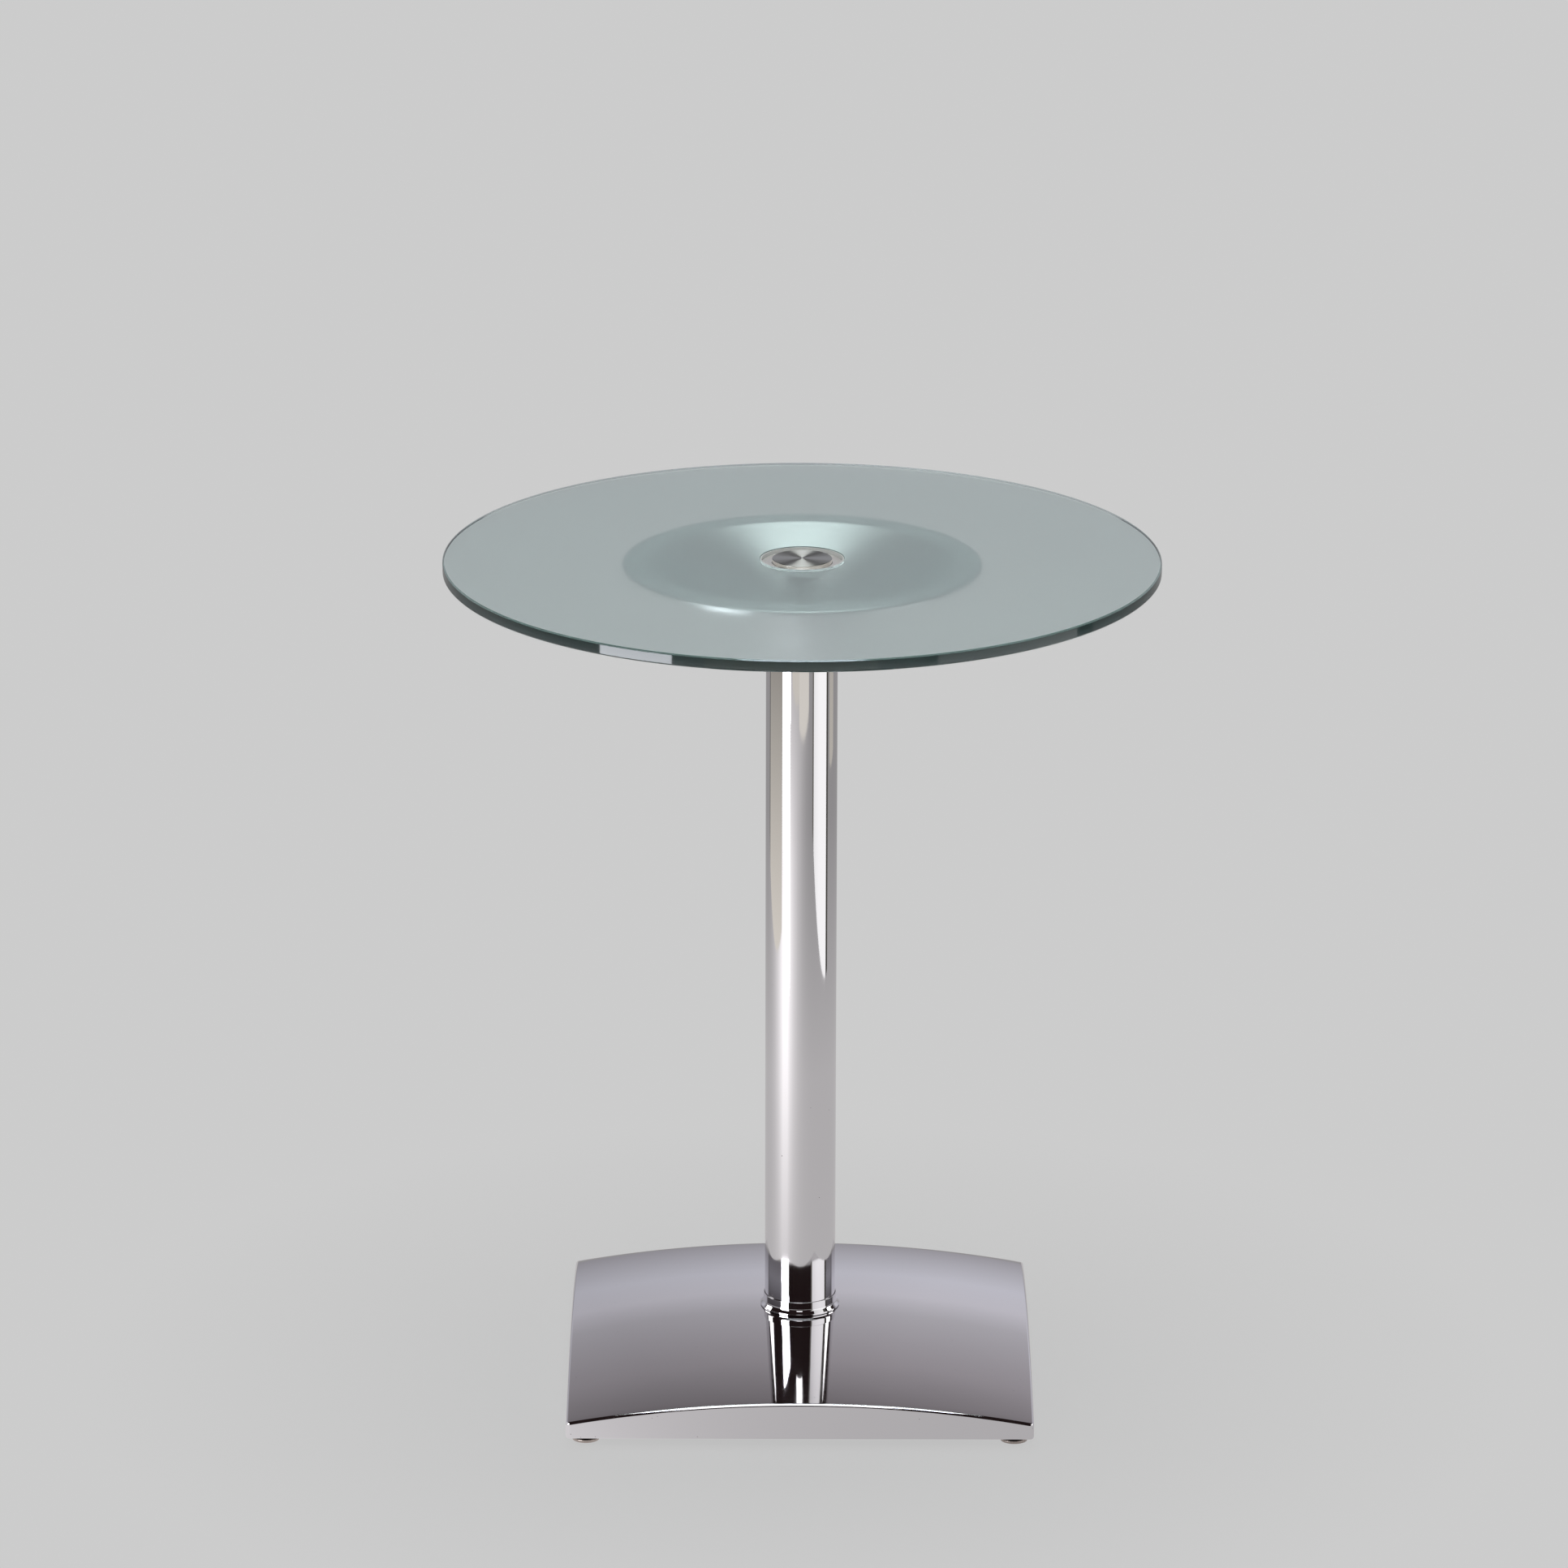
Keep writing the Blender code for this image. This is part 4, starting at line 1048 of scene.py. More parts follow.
# %% Hub post
POST_FILLET = 3.0 * MM
POST_FLANGE = 4.0 * MM
POST_FOOT = 4.5 * MM
POST_FOOT_RADIUS = 20.0 * MM
POST_WAIST_RADIUS = 12.0 * MM
COUNTERBORE_PLAY = 0.5 * MM
WASHER_PLAY = 0.3 * MM

bore, flange = radii("hub_post")
low, high = levels("hub_post")
counterbore = spigot + COUNTERBORE_PLAY
bore_floor = levels("hub_washer")[0] - WASHER_PLAY
post_corners = (
    (flange, high, EDGE_BREAK),
    (flange, high - POST_FLANGE, EDGE_BREAK),
    (POST_WAIST_RADIUS, high - POST_FLANGE, POST_FILLET),
    (POST_WAIST_RADIUS, low + POST_FOOT, POST_FILLET),
    (POST_FOOT_RADIUS, low + POST_FOOT, EDGE_BREAK),
    (POST_FOOT_RADIUS, low, 0),
    (bore, low, 0),
    (bore, bore_floor, 0),
    (counterbore, bore_floor, 0),
    (counterbore, high, 0),
)
hand_over(turned("hub_spool", post_corners, HUB_STEPS), "table", "satin_aluminium", post_metal, "hub_post")

# %% [markdown]
# Holes are cut with a Boolean. It leaves flat shading and slivers of new faces round the hole, which a
# mirror would show, so the piece is smoothed again up to a sharp angle and the normals of its long faces
# are kept true by weighting. Every modifier is settled into a plain mesh.

# %% Cutting helpers
SHARP_FROM = math.radians(38)


def settle(piece):
    """Turn the result of all modifiers into a plain mesh."""
    bpy.context.view_layer.update()
    evaluated = piece.evaluated_get(bpy.context.evaluated_depsgraph_get())
    mesh = bpy.data.meshes.new_from_object(evaluated)
    piece.modifiers.clear()
    piece.data = mesh
    mesh.name = piece.name
    return piece


def prism(name, radius, low, high, steps, centre=(0, 0)):
    """An upright closed prism, used as a cutter."""
    bm = bmesh.new()
    place = Matrix.Translation((centre[0], centre[1], (low + high) / 2))
    bmesh.ops.create_cone(
        bm, cap_ends=True, segments=steps, radius1=radius, radius2=radius, depth=high - low, matrix=place
    )
    mesh = bpy.data.meshes.new(name)
    bm.to_mesh(mesh)
    bm.free()
    return put_in_scene(name, mesh)


def joined(first, *others):
    """One object made of several meshes."""
    bm = bmesh.new()
    for one in (first, *others):
        bm.from_mesh(one.data)
    bm.to_mesh(first.data)
    bm.free()
    for one in others:
        bpy.data.objects.remove(one)
    return first


def drilled(piece, cutter):
    """Cut one object out of another, keep the long faces true, and remove the cutter."""
    cut = piece.modifiers.new("Cut", "BOOLEAN")
    cut.operation = "DIFFERENCE"
    cut.solver = "EXACT"
    cut.object = cutter
    settle(piece)
    piece.data.shade_smooth()
    piece.data.set_sharp_from_angle(angle=SHARP_FROM)
    smooth = piece.modifiers.new("Normals", "WEIGHTED_NORMAL")
    smooth.keep_sharp = True
    settle(piece)
    bpy.data.objects.remove(cutter)
    return piece


print(f"edges stay sharp from {math.degrees(SHARP_FROM):.0f} degrees")

# %% [markdown]
# The dish is one sheet of aluminium spun over a form. Its outline is drawn once for the face that shows
# and once, a sheet's thickness further in, for the back, so the wall is the same all along. The rolled
# bends are round, with the back's radii larger or smaller by the sheet. Eight holes take the stems of
# the bumpers.

# %% Dish
DISH_STEPS = 240
SHEET = 2.0 * MM
DISH_FLANGE_WIDTH = 25.5 * MM
DISH_FLOOR_RADIUS = 24.0 * MM
FLOOR_BEND = 12.0 * MM
MOUTH_BEND = 6.0 * MM
LIP_BEND = 3.0 * MM
LIP_DEPTH = 5.0 * MM
STEM_HOLE = 1.3 * MM
STEM_HOLE_STEPS = 24

bore, flange = radii("support_dish")
low, high = levels("support_dish")
floor_top = low + SHEET
mouth = flange - DISH_FLANGE_WIDTH
slope = math.atan2(high - floor_top, mouth - DISH_FLOOR_RADIUS)
shift = SHEET * math.tan(slope / 2)
dish_corners = (
    (bore, floor_top, 0),
    (DISH_FLOOR_RADIUS, floor_top, FLOOR_BEND),
    (mouth, high, MOUTH_BEND),
    (flange, high, LIP_BEND),
    (flange, high - LIP_DEPTH, 0),
    (flange - SHEET, high - LIP_DEPTH, 0),
    (flange - SHEET, high - SHEET, LIP_BEND - SHEET),
    (mouth + shift, high - SHEET, MOUTH_BEND - SHEET),
    (DISH_FLOOR_RADIUS + shift, low, FLOOR_BEND + SHEET),
    (bore, low, 0),
)
spun_dish = turned("spun_dish", dish_corners, DISH_STEPS)
bumpers = [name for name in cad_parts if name.startswith("bumper_")]
stem_holes = [
    prism("stem_hole", STEM_HOLE, high - 2 * SHEET, high + SHEET, STEM_HOLE_STEPS, middle_of(name))
    for name in bumpers
]
drilled(spun_dish, joined(*stem_holes))
hand_over(spun_dish, "table", "satin_aluminium", spun_metal, "support_dish")

# %% [markdown]
# What repeats or follows a rule is a job for Geometry Nodes. One helper makes an empty tree with named
# inputs, one puts it on a new object as a modifier, one moves points to a place worked out for each, and
# one ends a tree as the export needs it: real geometry instead of instances, with its material.


# %% Geometry tree helpers
def new_tree(name, **inputs):
    """An empty geometry tree with inputs given as Its_Name="Kind", and its inner sockets."""
    tree = bpy.data.node_groups.new(name, "GeometryNodeTree")
    tree.interface.new_socket("Geometry", in_out="INPUT", socket_type="NodeSocketGeometry")
    for label, kind in inputs.items():
        label = label.replace("_", " ")
        tree.interface.new_socket(label, in_out="INPUT", socket_type=f"NodeSocket{kind}")
    tree.interface.new_socket("Geometry", in_out="OUTPUT", socket_type="NodeSocketGeometry")
    return tree, add_node(tree, "NodeGroupInput").outputs, add_node(tree, "NodeGroupOutput").inputs[0]


def grow(name, tree, **values):
    """A new object with the tree as a modifier, its inputs set by their identifiers."""
    piece = put_in_scene(name, bpy.data.meshes.new(name))
    modifier = piece.modifiers.new(name, "NODES")
    modifier.node_group = tree
    for item in tree.interface.items_tree:
        label = item.name.replace(" ", "_")
        if item.in_out == "INPUT" and label in values:
            modifier[item.identifier] = values[label]
    return piece


def put(tree, geometry, place, selection=None, offset=None):
    """Move points, or only the selected ones, to a place worked out for each."""
    node = add_node(tree, "GeometryNodeSetPosition")
    labels = ("Geometry", "Selection", "Position", "Offset")
    for label, value in zip(labels, (geometry, selection, place, offset)):
        feed(tree, node.inputs[label], value)
    return node.outputs[0]


def finish_tree(tree, geometry, given, out):
    real = add_node(tree, "GeometryNodeRealizeInstances")
    feed(tree, real.inputs[0], geometry)
    finish = add_node(tree, "GeometryNodeSetMaterial")
    feed(tree, finish.inputs["Geometry"], real.outputs[0])
    feed(tree, finish.inputs["Material"], given["Finish"])
    feed(tree, out, finish.outputs[0])
    return tree


print("geometry tree helpers ready")

# %% [markdown]
# Eight clear bumpers carry the glass on the dish's flange. They could be copied in a loop; as a ring of
# instances their number and their circle stay two plain inputs. The tree puts points on a circle and
# stands one bumper on each. The bumper itself, a head, a stem and a barb, is turned.

# %% Bumpers
BUMPER_STEPS = 28
BUMPER_STEM = 1.2 * MM
BUMPER_ROUND = 0.4 * MM
BARB_REACH = 0.8 * MM
BUMPER_PLAY = 0.3 * MM


def make_ring_of_copies():
    tree, given, out = new_tree(
        "ring_of_copies", Copy="Object", Count="Int", Circle_Radius="Float", Finish="Material"
    )
    circle = add_node(tree, "GeometryNodeMeshCircle")
    feed(tree, circle.inputs["Vertices"], given["Count"])
    feed(tree, circle.inputs["Radius"], given["Circle Radius"])
    source = add_node(tree, "GeometryNodeObjectInfo")
    feed(tree, source.inputs["Object"], given["Copy"])
    copies = add_node(tree, "GeometryNodeInstanceOnPoints")
    feed(tree, copies.inputs["Points"], circle.outputs["Mesh"])
    feed(tree, copies.inputs["Instance"], source.outputs["Geometry"])
    return finish_tree(tree, copies.outputs[0], given, out)


low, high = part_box(bumpers[0])
bumper_centre = middle_of(bumpers[0])
head_radius = (high.y - low.y) / 2
head_under = levels("support_dish")[1] + BUMPER_PLAY
barb_top = levels("support_dish")[1] - SHEET - BUMPER_PLAY
bumper_corners = (
    (0, high.z, 0),
    (head_radius, high.z, BUMPER_ROUND),
    (head_radius, head_under, 0),
    (BUMPER_STEM, head_under, 0),
    (BUMPER_STEM, barb_top, 0),
    (BUMPER_STEM + BARB_REACH, barb_top, 0),
    (BUMPER_STEM, low.z, BUMPER_ROUND),
    (0, low.z, 0),
)
one_bumper = turned("one_bumper", bumper_corners, BUMPER_STEPS, closed=False)
bumper_ring = grow(
    "glass_bumpers",
    make_ring_of_copies(),
    Copy=one_bumper,
    Count=len(bumpers),
    Circle_Radius=math.hypot(bumper_centre.x, bumper_centre.y),
    Finish=plastic,
)
settle(bumper_ring)
bpy.data.objects.remove(one_bumper)
hand_over(bumper_ring, "table", "clear_plastic", plastic, *bumpers)

# %% [markdown]
# The column is a straight chromed tube, turned like the rest. Its head is closed by a plug whose rim
# shows as a thin ring under the dish, and its foot stands in a flared collar.

# %% Column
COLUMN_STEPS = 192
PLUG_RIM = 3.0 * MM
PLUG_PLAY = 0.3 * MM
COLLAR_WALL = 0.8 * MM
COLLAR_FOOT_HEIGHT = 1.2 * MM
COLLAR_FLARE_HEIGHT = 4.2 * MM
COLLAR_FLARE_ROUND = 3.0 * MM
COLLAR_EDGE = 0.38 * MM

column = turned("column", ring_corners("column_tube", EDGE_BREAK, 0), COLUMN_STEPS)
hand_over(column, "table", "chrome", tube_chrome, "column_tube")

bore, column_radius = radii("column_tube")
plug_bore = radii("head_plug")[0]
low, high = levels("head_plug")
body = bore - PLUG_PLAY
plug_corners = (
    (column_radius, high, EDGE_BREAK),
    (column_radius, high - PLUG_RIM, EDGE_BREAK),
    (body, high - PLUG_RIM, 0),
    (body, low, 0),
    (plug_bore, low, 0),
    (plug_bore, high, 0),
)
hand_over(turned("column_head", plug_corners, COLUMN_STEPS), "table", "zinc_steel", zinc, "head_plug")

collar_bore, collar_foot = radii("column_collar")
low, high = levels("column_collar")
sleeve = collar_bore + COLLAR_WALL
collar_corners = (
    (sleeve, high, COLLAR_EDGE),
    (sleeve, low + COLLAR_FLARE_HEIGHT, COLLAR_FLARE_ROUND),
    (collar_foot, low + COLLAR_FOOT_HEIGHT, COLLAR_EDGE),
    (collar_foot, low, 0),
    (collar_bore, low, 0),
    (collar_bore, high, COLLAR_EDGE),
)
hand_over(turned("collar", collar_corners, COLUMN_STEPS), "table", "chrome", tube_chrome, "column_collar")

# %% [markdown]
# The base shell follows one rule: a square cut of a sphere. Geometry Nodes lay a grid on the sphere, drop
# its border to the side's foot, and fold it inwards as a hem. Both extrusions start at no length and are
# then put in place, because that keeps the sides upright. One helper makes such an extrusion. The other
# tells each edge how much it will be bevelled, from where its two ends lie.

# %% Dome steps
NEAR = 0.01 * MM


def extruded(tree, geometry, selection):
    """Extrude edges by nothing, and return the mesh and which edges are new."""
    node = add_node(tree, "GeometryNodeExtrudeMesh", mode="EDGES")
    feed(tree, node.inputs["Mesh"], geometry)
    feed(tree, node.inputs["Selection"], selection)
    node.inputs["Offset Scale"].default_value = 0.0
    return node.outputs["Mesh"], node.outputs["Top"]


def bend_weights(tree, half, foot, rim_share, hem_share):
    """A bevel weight for each edge: 1 at the upright corners, a share of that at the rim and the hem."""
    ends = add_node(tree, "GeometryNodeInputMeshEdgeVertices")
    brink = calc(tree, "SUBTRACT", half, NEAR)
    facts = []
    for label in ("Position 1", "Position 2"):
        x, y, z = axes_of(tree, ends.outputs[label])
        x, y = calc(tree, "ABSOLUTE", x), calc(tree, "ABSOLUTE", y)
        on_border = calc(tree, "GREATER_THAN", calc(tree, "MAXIMUM", x, y), brink)
        on_corner = calc(tree, "GREATER_THAN", calc(tree, "MINIMUM", x, y), brink)
        on_foot = calc(tree, "LESS_THAN", z, calc(tree, "ADD", foot, NEAR))
        facts.append((on_border, on_corner, on_foot))
    both_border, both_corner, both_foot = (calc(tree, "MULTIPLY", a, b) for a, b in zip(*facts))
    any_foot = calc(tree, "MAXIMUM", facts[0][2], facts[1][2])
    is_rim = calc(tree, "MULTIPLY", both_border, calc(tree, "SUBTRACT", 1.0, any_foot))
    is_fold = calc(tree, "MULTIPLY", both_border, both_foot)
    is_upright = calc(tree, "MULTIPLY", both_corner, calc(tree, "SUBTRACT", any_foot, both_foot))
    weight = calc(tree, "MULTIPLY_ADD", is_rim, rim_share, is_upright)
    return calc(tree, "MULTIPLY_ADD", is_fold, hem_share, weight)


print("dome steps ready")

# %% [markdown]
# The tree itself works out the sphere's height over every point of the grid. It also writes the bevel
# weights onto the edges that are bent, so that a later Bevel modifier rounds only those, each by its own
# radius.


# %% Dome tree
def make_domed_square():
    tree, given, out = new_tree(
        "domed_square", Half_Width="Float", Sphere_Radius="Float", Crown_Height="Float", Foot_Height="Float",
        Hem_Width="Float", Cells="Int", Rim_Share="Float", Hem_Share="Float", Finish="Material"
    )
    half, foot, radius = given["Half Width"], given["Foot Height"], given["Sphere Radius"]
    grid = add_node(tree, "GeometryNodeMeshGrid")
    for axis in "XY":
        feed(tree, grid.inputs[f"Size {axis}"], calc(tree, "MULTIPLY", half, 2.0))
        feed(tree, grid.inputs[f"Vertices {axis}"], calc(tree, "ADD", given["Cells"], 1.0))
    x, y, _ = axes_of(tree, add_node(tree, "GeometryNodeInputPosition").outputs[0])
    squares = calc(tree, "ADD", calc(tree, "MULTIPLY", x, x), calc(tree, "MULTIPLY", y, y))
    level = calc(tree, "SQRT", calc(tree, "SUBTRACT", calc(tree, "MULTIPLY", radius, radius), squares))
    height = calc(tree, "ADD", calc(tree, "SUBTRACT", given["Crown Height"], radius), level)
    domed = put(tree, grid.outputs["Mesh"], vector_of(tree, x, y, height))
    faces_around = add_node(tree, "GeometryNodeInputMeshEdgeNeighbors").outputs[0]
    border = calc(tree, "LESS_THAN", faces_around, 1.5)
    sides, side_foot = extruded(tree, domed, border)
    sides = put(tree, sides, vector_of(tree, x, y, foot), side_foot)
    hem, hem_edge = extruded(tree, sides, side_foot)
    inside = calc(tree, "SUBTRACT", half, given["Hem Width"])
    outside = calc(tree, "MULTIPLY", inside, -1.0)
    hem_x, hem_y = (calc(tree, "MAXIMUM", calc(tree, "MINIMUM", way, inside), outside) for way in (x, y))
    hem = put(tree, hem, vector_of(tree, hem_x, hem_y, foot), hem_edge)
    store = add_node(tree, "GeometryNodeStoreNamedAttribute", data_type="FLOAT", domain="EDGE")
    store.inputs["Name"].default_value = "bevel_weight_edge"
    feed(tree, store.inputs["Geometry"], hem)
    weights = bend_weights(tree, half, foot, given["Rim Share"], given["Hem Share"])
    feed(tree, store.inputs["Value"], weights)
    return finish_tree(tree, store.outputs[0], given, out)


DOME_TREE = make_domed_square()
print("tree:", DOME_TREE.name, len(DOME_TREE.nodes), "nodes")

# %% [markdown]
# Bevel then rounds the bends and Solidify gives the sheet its thickness. Weighted normals keep the dome
# true right up to its rim, and the hole for the column's screw is cut last.

# %% Base shell
DOME_RISE = 17.4 * MM
SHELL_SHEET = 1.5 * MM
CORNER_ROUND = 4.0 * MM
RIM_ROUND = 2.2 * MM
HEM_ROUND = 2.4 * MM
HEM_WIDTH = 8.0 * MM
DOME_CELLS = 44
BEND_SEGMENTS = 6
BOLT_HOLE_STEPS = 48

dome_top = max(v.co.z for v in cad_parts["base_shell"].data.vertices)
hole_radius = radii("base_shell")[0]
base_low, base_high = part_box("base_shell")
print(f"dome: crown at {dome_top / MM:.2f} mm, bolt hole {2 * hole_radius / MM:.1f} mm")

base_cover = grow(
    "base_cover",
    DOME_TREE,
    Half_Width=base_high.x,
    Sphere_Radius=(base_high.x ** 2 + DOME_RISE ** 2) / (2 * DOME_RISE),
    Crown_Height=dome_top,
    Foot_Height=base_low.z,
    Hem_Width=HEM_WIDTH,
    Cells=DOME_CELLS,
    Rim_Share=RIM_ROUND / CORNER_ROUND,
    Hem_Share=HEM_ROUND / CORNER_ROUND,
    Finish=chrome,
)
bends = base_cover.modifiers.new("Bends", "BEVEL")
bends.limit_method = "WEIGHT"
bends.width = CORNER_ROUND
bends.segments = BEND_SEGMENTS
bends.use_clamp_overlap = False
wall = base_cover.modifiers.new("Sheet", "SOLIDIFY")
wall.thickness = SHELL_SHEET
wall.offset = -1
wall.use_even_offset = True
bolt_hole = prism("bolt_hole", hole_radius, dome_top - 3 * SHEET, dome_top + SHEET, BOLT_HOLE_STEPS)
hand_over(drilled(base_cover, bolt_hole), "table", "chrome", chrome, "base_shell")

# %% [markdown]
# Underneath, one countersunk screw draws everything together. Its head lies flush in the steel plate and
# takes a hexagon key, so a six-sided hole is cut into the turned blank.

# %% Base screw
SCREW_STEPS = 72
SCREW_SHANK = 6.0 * MM
SCREW_HEAD_RIM = 0.8 * MM
SCREW_NECK_ROUND = 0.4 * MM
SCREW_POINT = 1.0 * MM
KEY_WIDTH = 8.0 * MM
KEY_DEPTH = 4.2 * MM

head_width = radii("base_bolt")[1]
low, high = levels("base_bolt")
screw_corners = (
    (0, high, 0),
    (SCREW_SHANK - SCREW_POINT, high, 0),
    (SCREW_SHANK, high - SCREW_POINT, 0),
    (SCREW_SHANK, low + SCREW_HEAD_RIM + (head_width - SCREW_SHANK), SCREW_NECK_ROUND),
    (head_width, low + SCREW_HEAD_RIM, EDGE_BREAK),
    (head_width, low, EDGE_BREAK),
    (0, low, 0),
)
blank = turned("base_screw", screw_corners, SCREW_STEPS, closed=False)
key_hole = prism("key_hole", KEY_WIDTH / math.sqrt(3), low - KEY_DEPTH, low + KEY_DEPTH, 6)
hand_over(drilled(blank, key_hole), "table", "zinc_steel", zinc, "base_bolt")

# %% [markdown]
# Each corner stands on a chromed foot with a socket in its top. It is turned like the rest: flat where it
# meets the floor, well rounded below so that it slides over an edge, and open above for the spindle.

# %% Feet
FOOT_CORNERS = ("front_left", "front_right", "rear_left", "rear_right")
GLIDE_STEPS = 64
GLIDE_TOP_ROUND = 0.8 * MM
GLIDE_UNDER_ROUND = 3.2 * MM
SOCKET_FLOOR = 2.0 * MM
SOCKET_RADIUS = 4.8 * MM
SOCKET_ROUND = 0.3 * MM
SOCKET_LIP = 1.3 * MM
SOCKET_MOUTH = 3.5 * MM


def make_foot(corner):
    node = f"glide_{corner}"
    centre = middle_of(node)
    low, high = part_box(node)
    width = (high.x - low.x) / 2
    foot_corners = (
        (0, low.z + SOCKET_FLOOR, 0),
        (SOCKET_RADIUS, low.z + SOCKET_FLOOR, SOCKET_ROUND),
        (SOCKET_RADIUS, high.z - SOCKET_LIP, 0),
        (SOCKET_MOUTH, high.z - SOCKET_LIP, 0),
        (SOCKET_MOUTH, high.z, SOCKET_ROUND),
        (width, high.z, GLIDE_TOP_ROUND),
        (width, low.z, GLIDE_UNDER_ROUND),
        (0, low.z, 0),
    )
    foot = turned(f"{corner}_foot", foot_corners, GLIDE_STEPS, centre=(centre.x, centre.y), closed=False)
    hand_over(foot, f"{corner}_glide", "chrome", foot_chrome, node)


for corner in FOOT_CORNERS:
    make_foot(corner)

# %% [markdown]
# A threaded spindle follows a rule too: the distance of its surface from the axis rises and falls with
# the height, shifted by the angle. Two steps serve its tree: one makes a cylinder between two levels, and
# one bends it by scaling its cross-section.


# %% Spindle steps
def rod_between(tree, low, high, radius, steps, rows):
    """A cylinder as long as from one level to another, about its own middle."""
    node = add_node(tree, "GeometryNodeMeshCylinder")
    node.inputs["Vertices"].default_value = steps
    node.inputs["Side Segments"].default_value = rows
    feed(tree, node.inputs["Radius"], radius)
    feed(tree, node.inputs["Depth"], calc(tree, "SUBTRACT", high, low))
    return node.outputs["Mesh"]


def placed(tree, geometry, scale, height, low, high):
    """Scale the cross-section, set the height, and lift the piece between its two levels."""
    x, y, _ = axes_of(tree, add_node(tree, "GeometryNodeInputPosition").outputs[0])
    place = vector_of(tree, calc(tree, "MULTIPLY", x, scale), calc(tree, "MULTIPLY", y, scale), height)
    lift = calc(tree, "MULTIPLY", calc(tree, "ADD", low, high), 0.5)
    return put(tree, geometry, place, offset=vector_of(tree, z=lift))


print("spindle steps ready")

# %% [markdown]
# One tree bends a plain cylinder to that rule, lets the thread run out at both ends, adds a hexagon with
# broken corners for the spanner and joins the turned foot of the spindle to it. A texture could draw the
# thread, but it shows in outline when a foot is screwed out.

# %% Spindle tree
THREAD_ROWS = 110
THREAD_STEPS = 36
HEXAGON_ROWS = 3
HEXAGON_END = 0.7


def make_threaded_spindle():
    tree, given, out = new_tree(
        "threaded_spindle", Turned_Foot="Object", Centre="Vector", Thread_Low="Float", Thread_High="Float",
        Radius="Float", Pitch="Float", Depth="Float", Run_Out="Float", Hexagon_Low="Float",
        Hexagon_High="Float", Spanner_Width="Float", Corner_Break="Float", Finish="Material"
    )
    x, y, z = axes_of(tree, add_node(tree, "GeometryNodeInputPosition").outputs[0])
    upright = calc(tree, "ABSOLUTE", z)

    low, high = given["Thread Low"], given["Thread High"]
    rod = rod_between(tree, low, high, given["Radius"], THREAD_STEPS, THREAD_ROWS)
    turn = calc(tree, "DIVIDE", calc(tree, "ARCTAN2", y, x), math.tau)
    phase = calc(tree, "SUBTRACT", calc(tree, "DIVIDE", z, given["Pitch"]), turn)
    valley = calc(tree, "PINGPONG", calc(tree, "MULTIPLY", phase, 2.0), 1.0)
    end = calc(tree, "MULTIPLY", calc(tree, "SUBTRACT", high, low), 0.5)
    tapering = spread(tree, calc(tree, "SUBTRACT", end, upright), 0.0, given["Run Out"], 1.0, 0.0)
    cut = calc(tree, "MULTIPLY", given["Depth"], calc(tree, "MAXIMUM", valley, tapering))
    ratio = calc(tree, "SUBTRACT", 1.0, calc(tree, "DIVIDE", cut, given["Radius"]))
    thread = placed(tree, rod, ratio, z, low, high)

    low, high, corner_break = given["Hexagon Low"], given["Hexagon High"], given["Corner Break"]
    across_corners = calc(tree, "DIVIDE", given["Spanner Width"], math.sqrt(3))
    hexagon = rod_between(tree, low, high, across_corners, 6, HEXAGON_ROWS)
    half = calc(tree, "MULTIPLY", calc(tree, "SUBTRACT", high, low), 0.5)
    at_end = calc(tree, "GREATER_THAN", upright, calc(tree, "MULTIPLY", half, HEXAGON_END))
    inner = calc(tree, "SUBTRACT", half, corner_break)
    height = calc(tree, "ADD", inner, calc(tree, "MULTIPLY", at_end, corner_break))
    height = calc(tree, "MULTIPLY", height, calc(tree, "SIGN", z))
    shrink = calc(tree, "MULTIPLY", at_end, calc(tree, "DIVIDE", corner_break, across_corners))
    nut = placed(tree, hexagon, calc(tree, "SUBTRACT", 1.0, shrink), height, low, high)

    round_side = add_node(tree, "GeometryNodeSetShadeSmooth")
    feed(tree, round_side.inputs["Geometry"], thread)
    source = add_node(tree, "GeometryNodeObjectInfo")
    feed(tree, source.inputs["Object"], given["Turned Foot"])
    together = add_node(tree, "GeometryNodeJoinGeometry")
    for part in (round_side.outputs[0], nut, source.outputs["Geometry"]):
        feed(tree, together.inputs[0], part)
    moving = add_node(tree, "GeometryNodeTransform")
    feed(tree, moving.inputs["Geometry"], together.outputs[0])
    feed(tree, moving.inputs["Translation"], given["Centre"])
    return finish_tree(tree, moving.outputs[0], given, out)


SPINDLE_TREE = make_threaded_spindle()
print("tree:", SPINDLE_TREE.name, len(SPINDLE_TREE.nodes), "nodes")

# %% [markdown]
# Four spindles come out of the one tree, each on its own body, because each turns by itself. The foot
# below the hexagon is turned first and handed to the tree as an object.

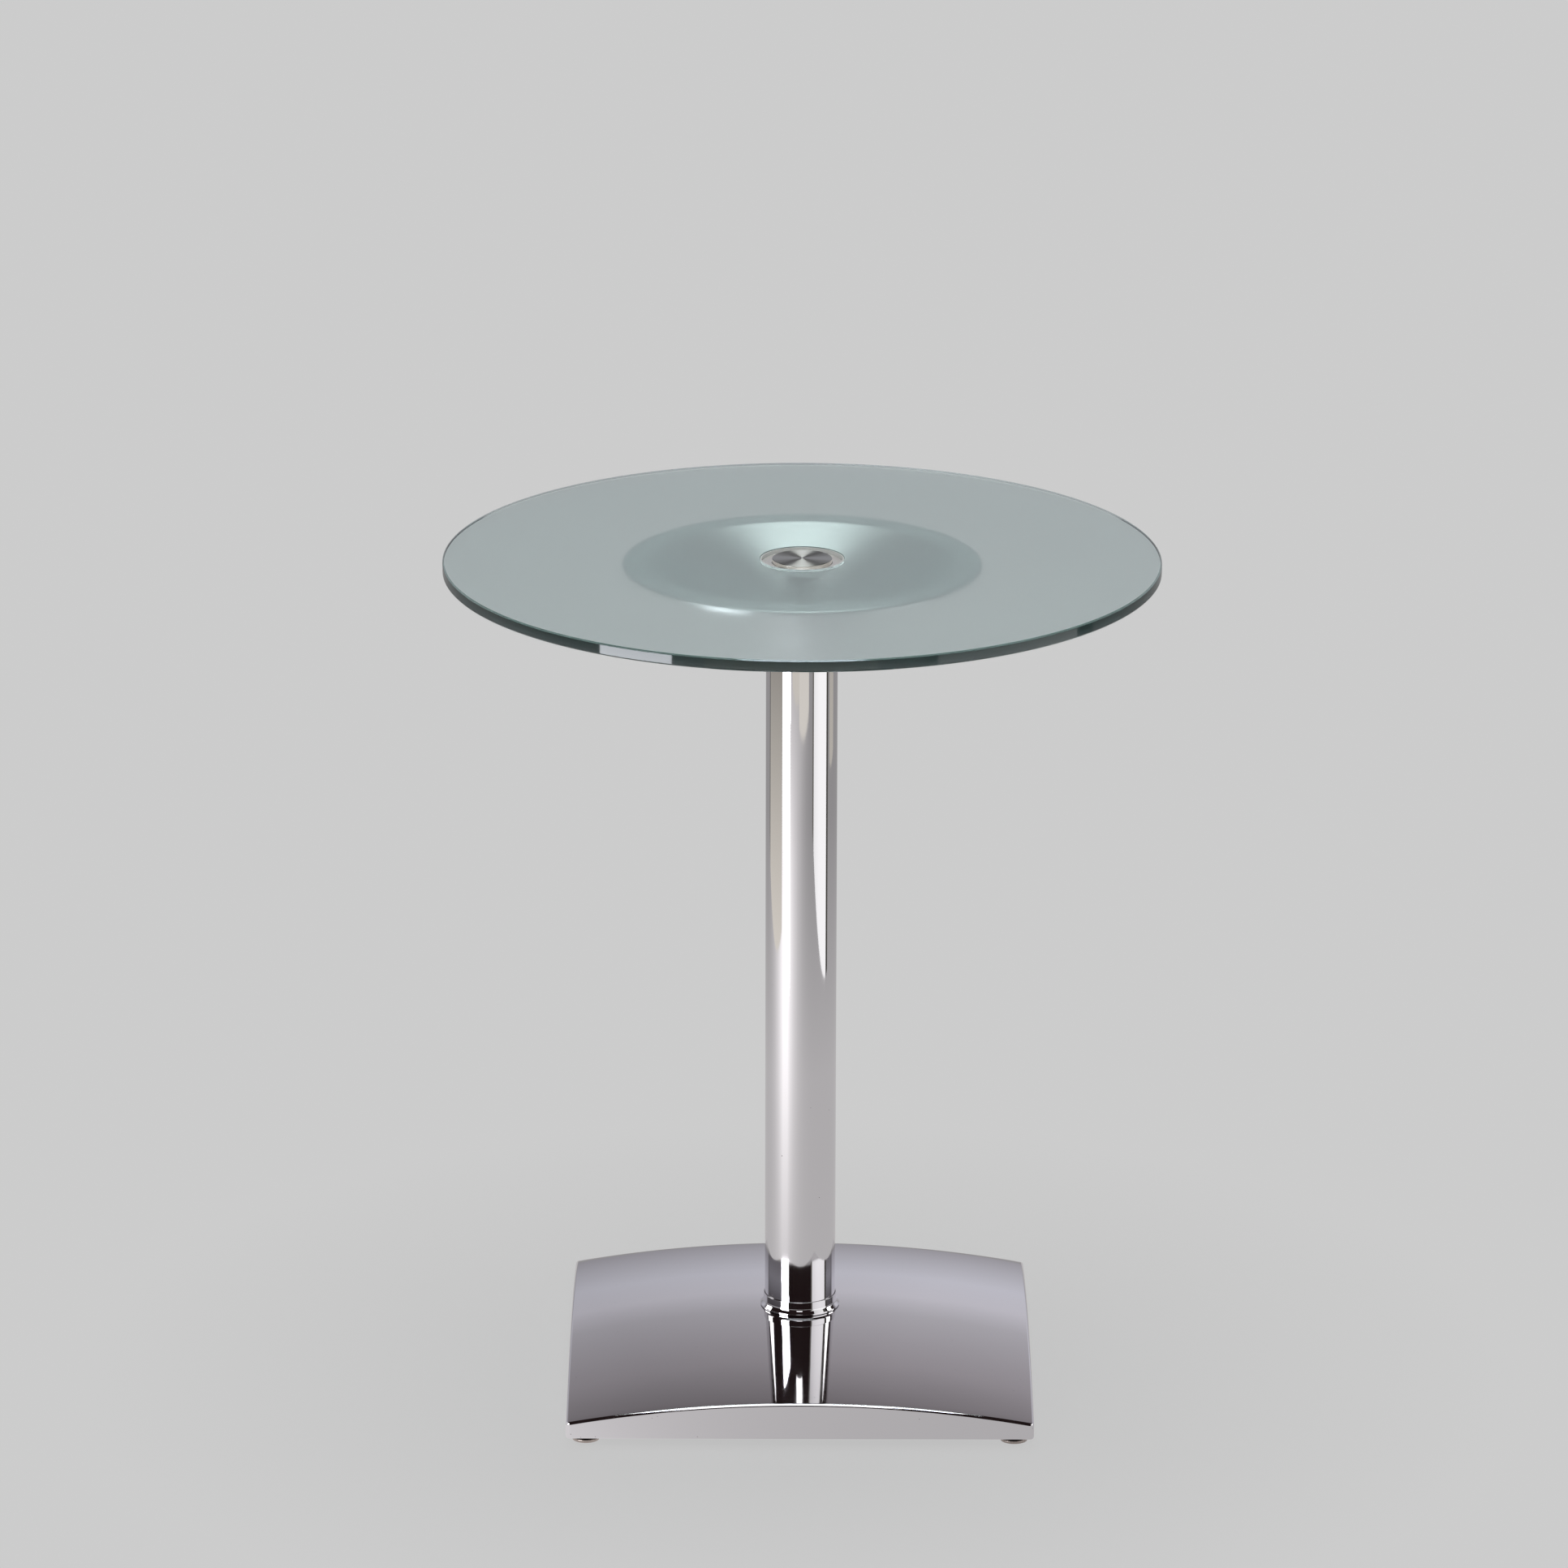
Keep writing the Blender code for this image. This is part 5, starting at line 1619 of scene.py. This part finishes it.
# %% Spindles
THREAD_PITCH = 1.25 * MM
THREAD_DEPTH = 0.6 * MM
RUN_OUT = 0.9 * MM
SPANNER_WIDTH = 13.0 * MM
HEXAGON_LOW = 6.0 * MM
HEXAGON_HIGH = 8.0 * MM
HEXAGON_BREAK = 0.3 * MM
SPINDLE_RADIUS = 4.0 * MM
SPINDLE_NECK = 3.1 * MM
BALL_RADIUS = 4.4 * MM
BALL_HEIGHT = 1.8 * MM
NECK_ROUND = 0.2 * MM
BALL_TOP_ROUND = 0.3 * MM
BALL_UNDER_ROUND = 0.5 * MM


def make_spindle(corner):
    node = f"stud_{corner}"
    centre = middle_of(node)
    low, high = levels(node)
    foot_corners = (
        (0, HEXAGON_LOW + HEXAGON_BREAK, 0),
        (SPINDLE_NECK, HEXAGON_LOW + HEXAGON_BREAK, 0),
        (SPINDLE_NECK, low + BALL_HEIGHT, NECK_ROUND),
        (BALL_RADIUS, low + BALL_HEIGHT, BALL_TOP_ROUND),
        (BALL_RADIUS, low, BALL_UNDER_ROUND),
        (0, low, 0),
    )
    turned_foot = turned("turned_foot", foot_corners, GLIDE_STEPS, closed=False)
    spindle = grow(
        f"{corner}_spindle",
        SPINDLE_TREE,
        Turned_Foot=turned_foot,
        Centre=(centre.x, centre.y, 0.0),
        Thread_Low=HEXAGON_HIGH - HEXAGON_BREAK,
        Thread_High=high,
        Radius=SPINDLE_RADIUS,
        Pitch=THREAD_PITCH,
        Depth=THREAD_DEPTH,
        Run_Out=RUN_OUT,
        Hexagon_Low=HEXAGON_LOW,
        Hexagon_High=HEXAGON_HIGH,
        Spanner_Width=SPANNER_WIDTH,
        Corner_Break=HEXAGON_BREAK,
        Finish=zinc,
    )
    settle(spindle)
    bpy.data.objects.remove(turned_foot)
    hand_over(spindle, f"{corner}_stud", "zinc_steel", zinc, node)


for corner in FOOT_CORNERS:
    make_spindle(corner)

# %% [markdown]
# What is left of the frame is seen only from below or not at all: the steel plate, a plug, a tube, a
# screw and a washer. Their solids are true to the real things, so they stay as they are and only get
# their finish.

# %% Finish the plain solids
plain = {name: obj for name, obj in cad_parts.items() if not obj.hide_render}
for name, obj in plain.items():
    obj.data.materials.clear()
    obj.data.materials.append(paint if name == "ballast_plate" else zinc)
print("plain solids:", ", ".join(plain))
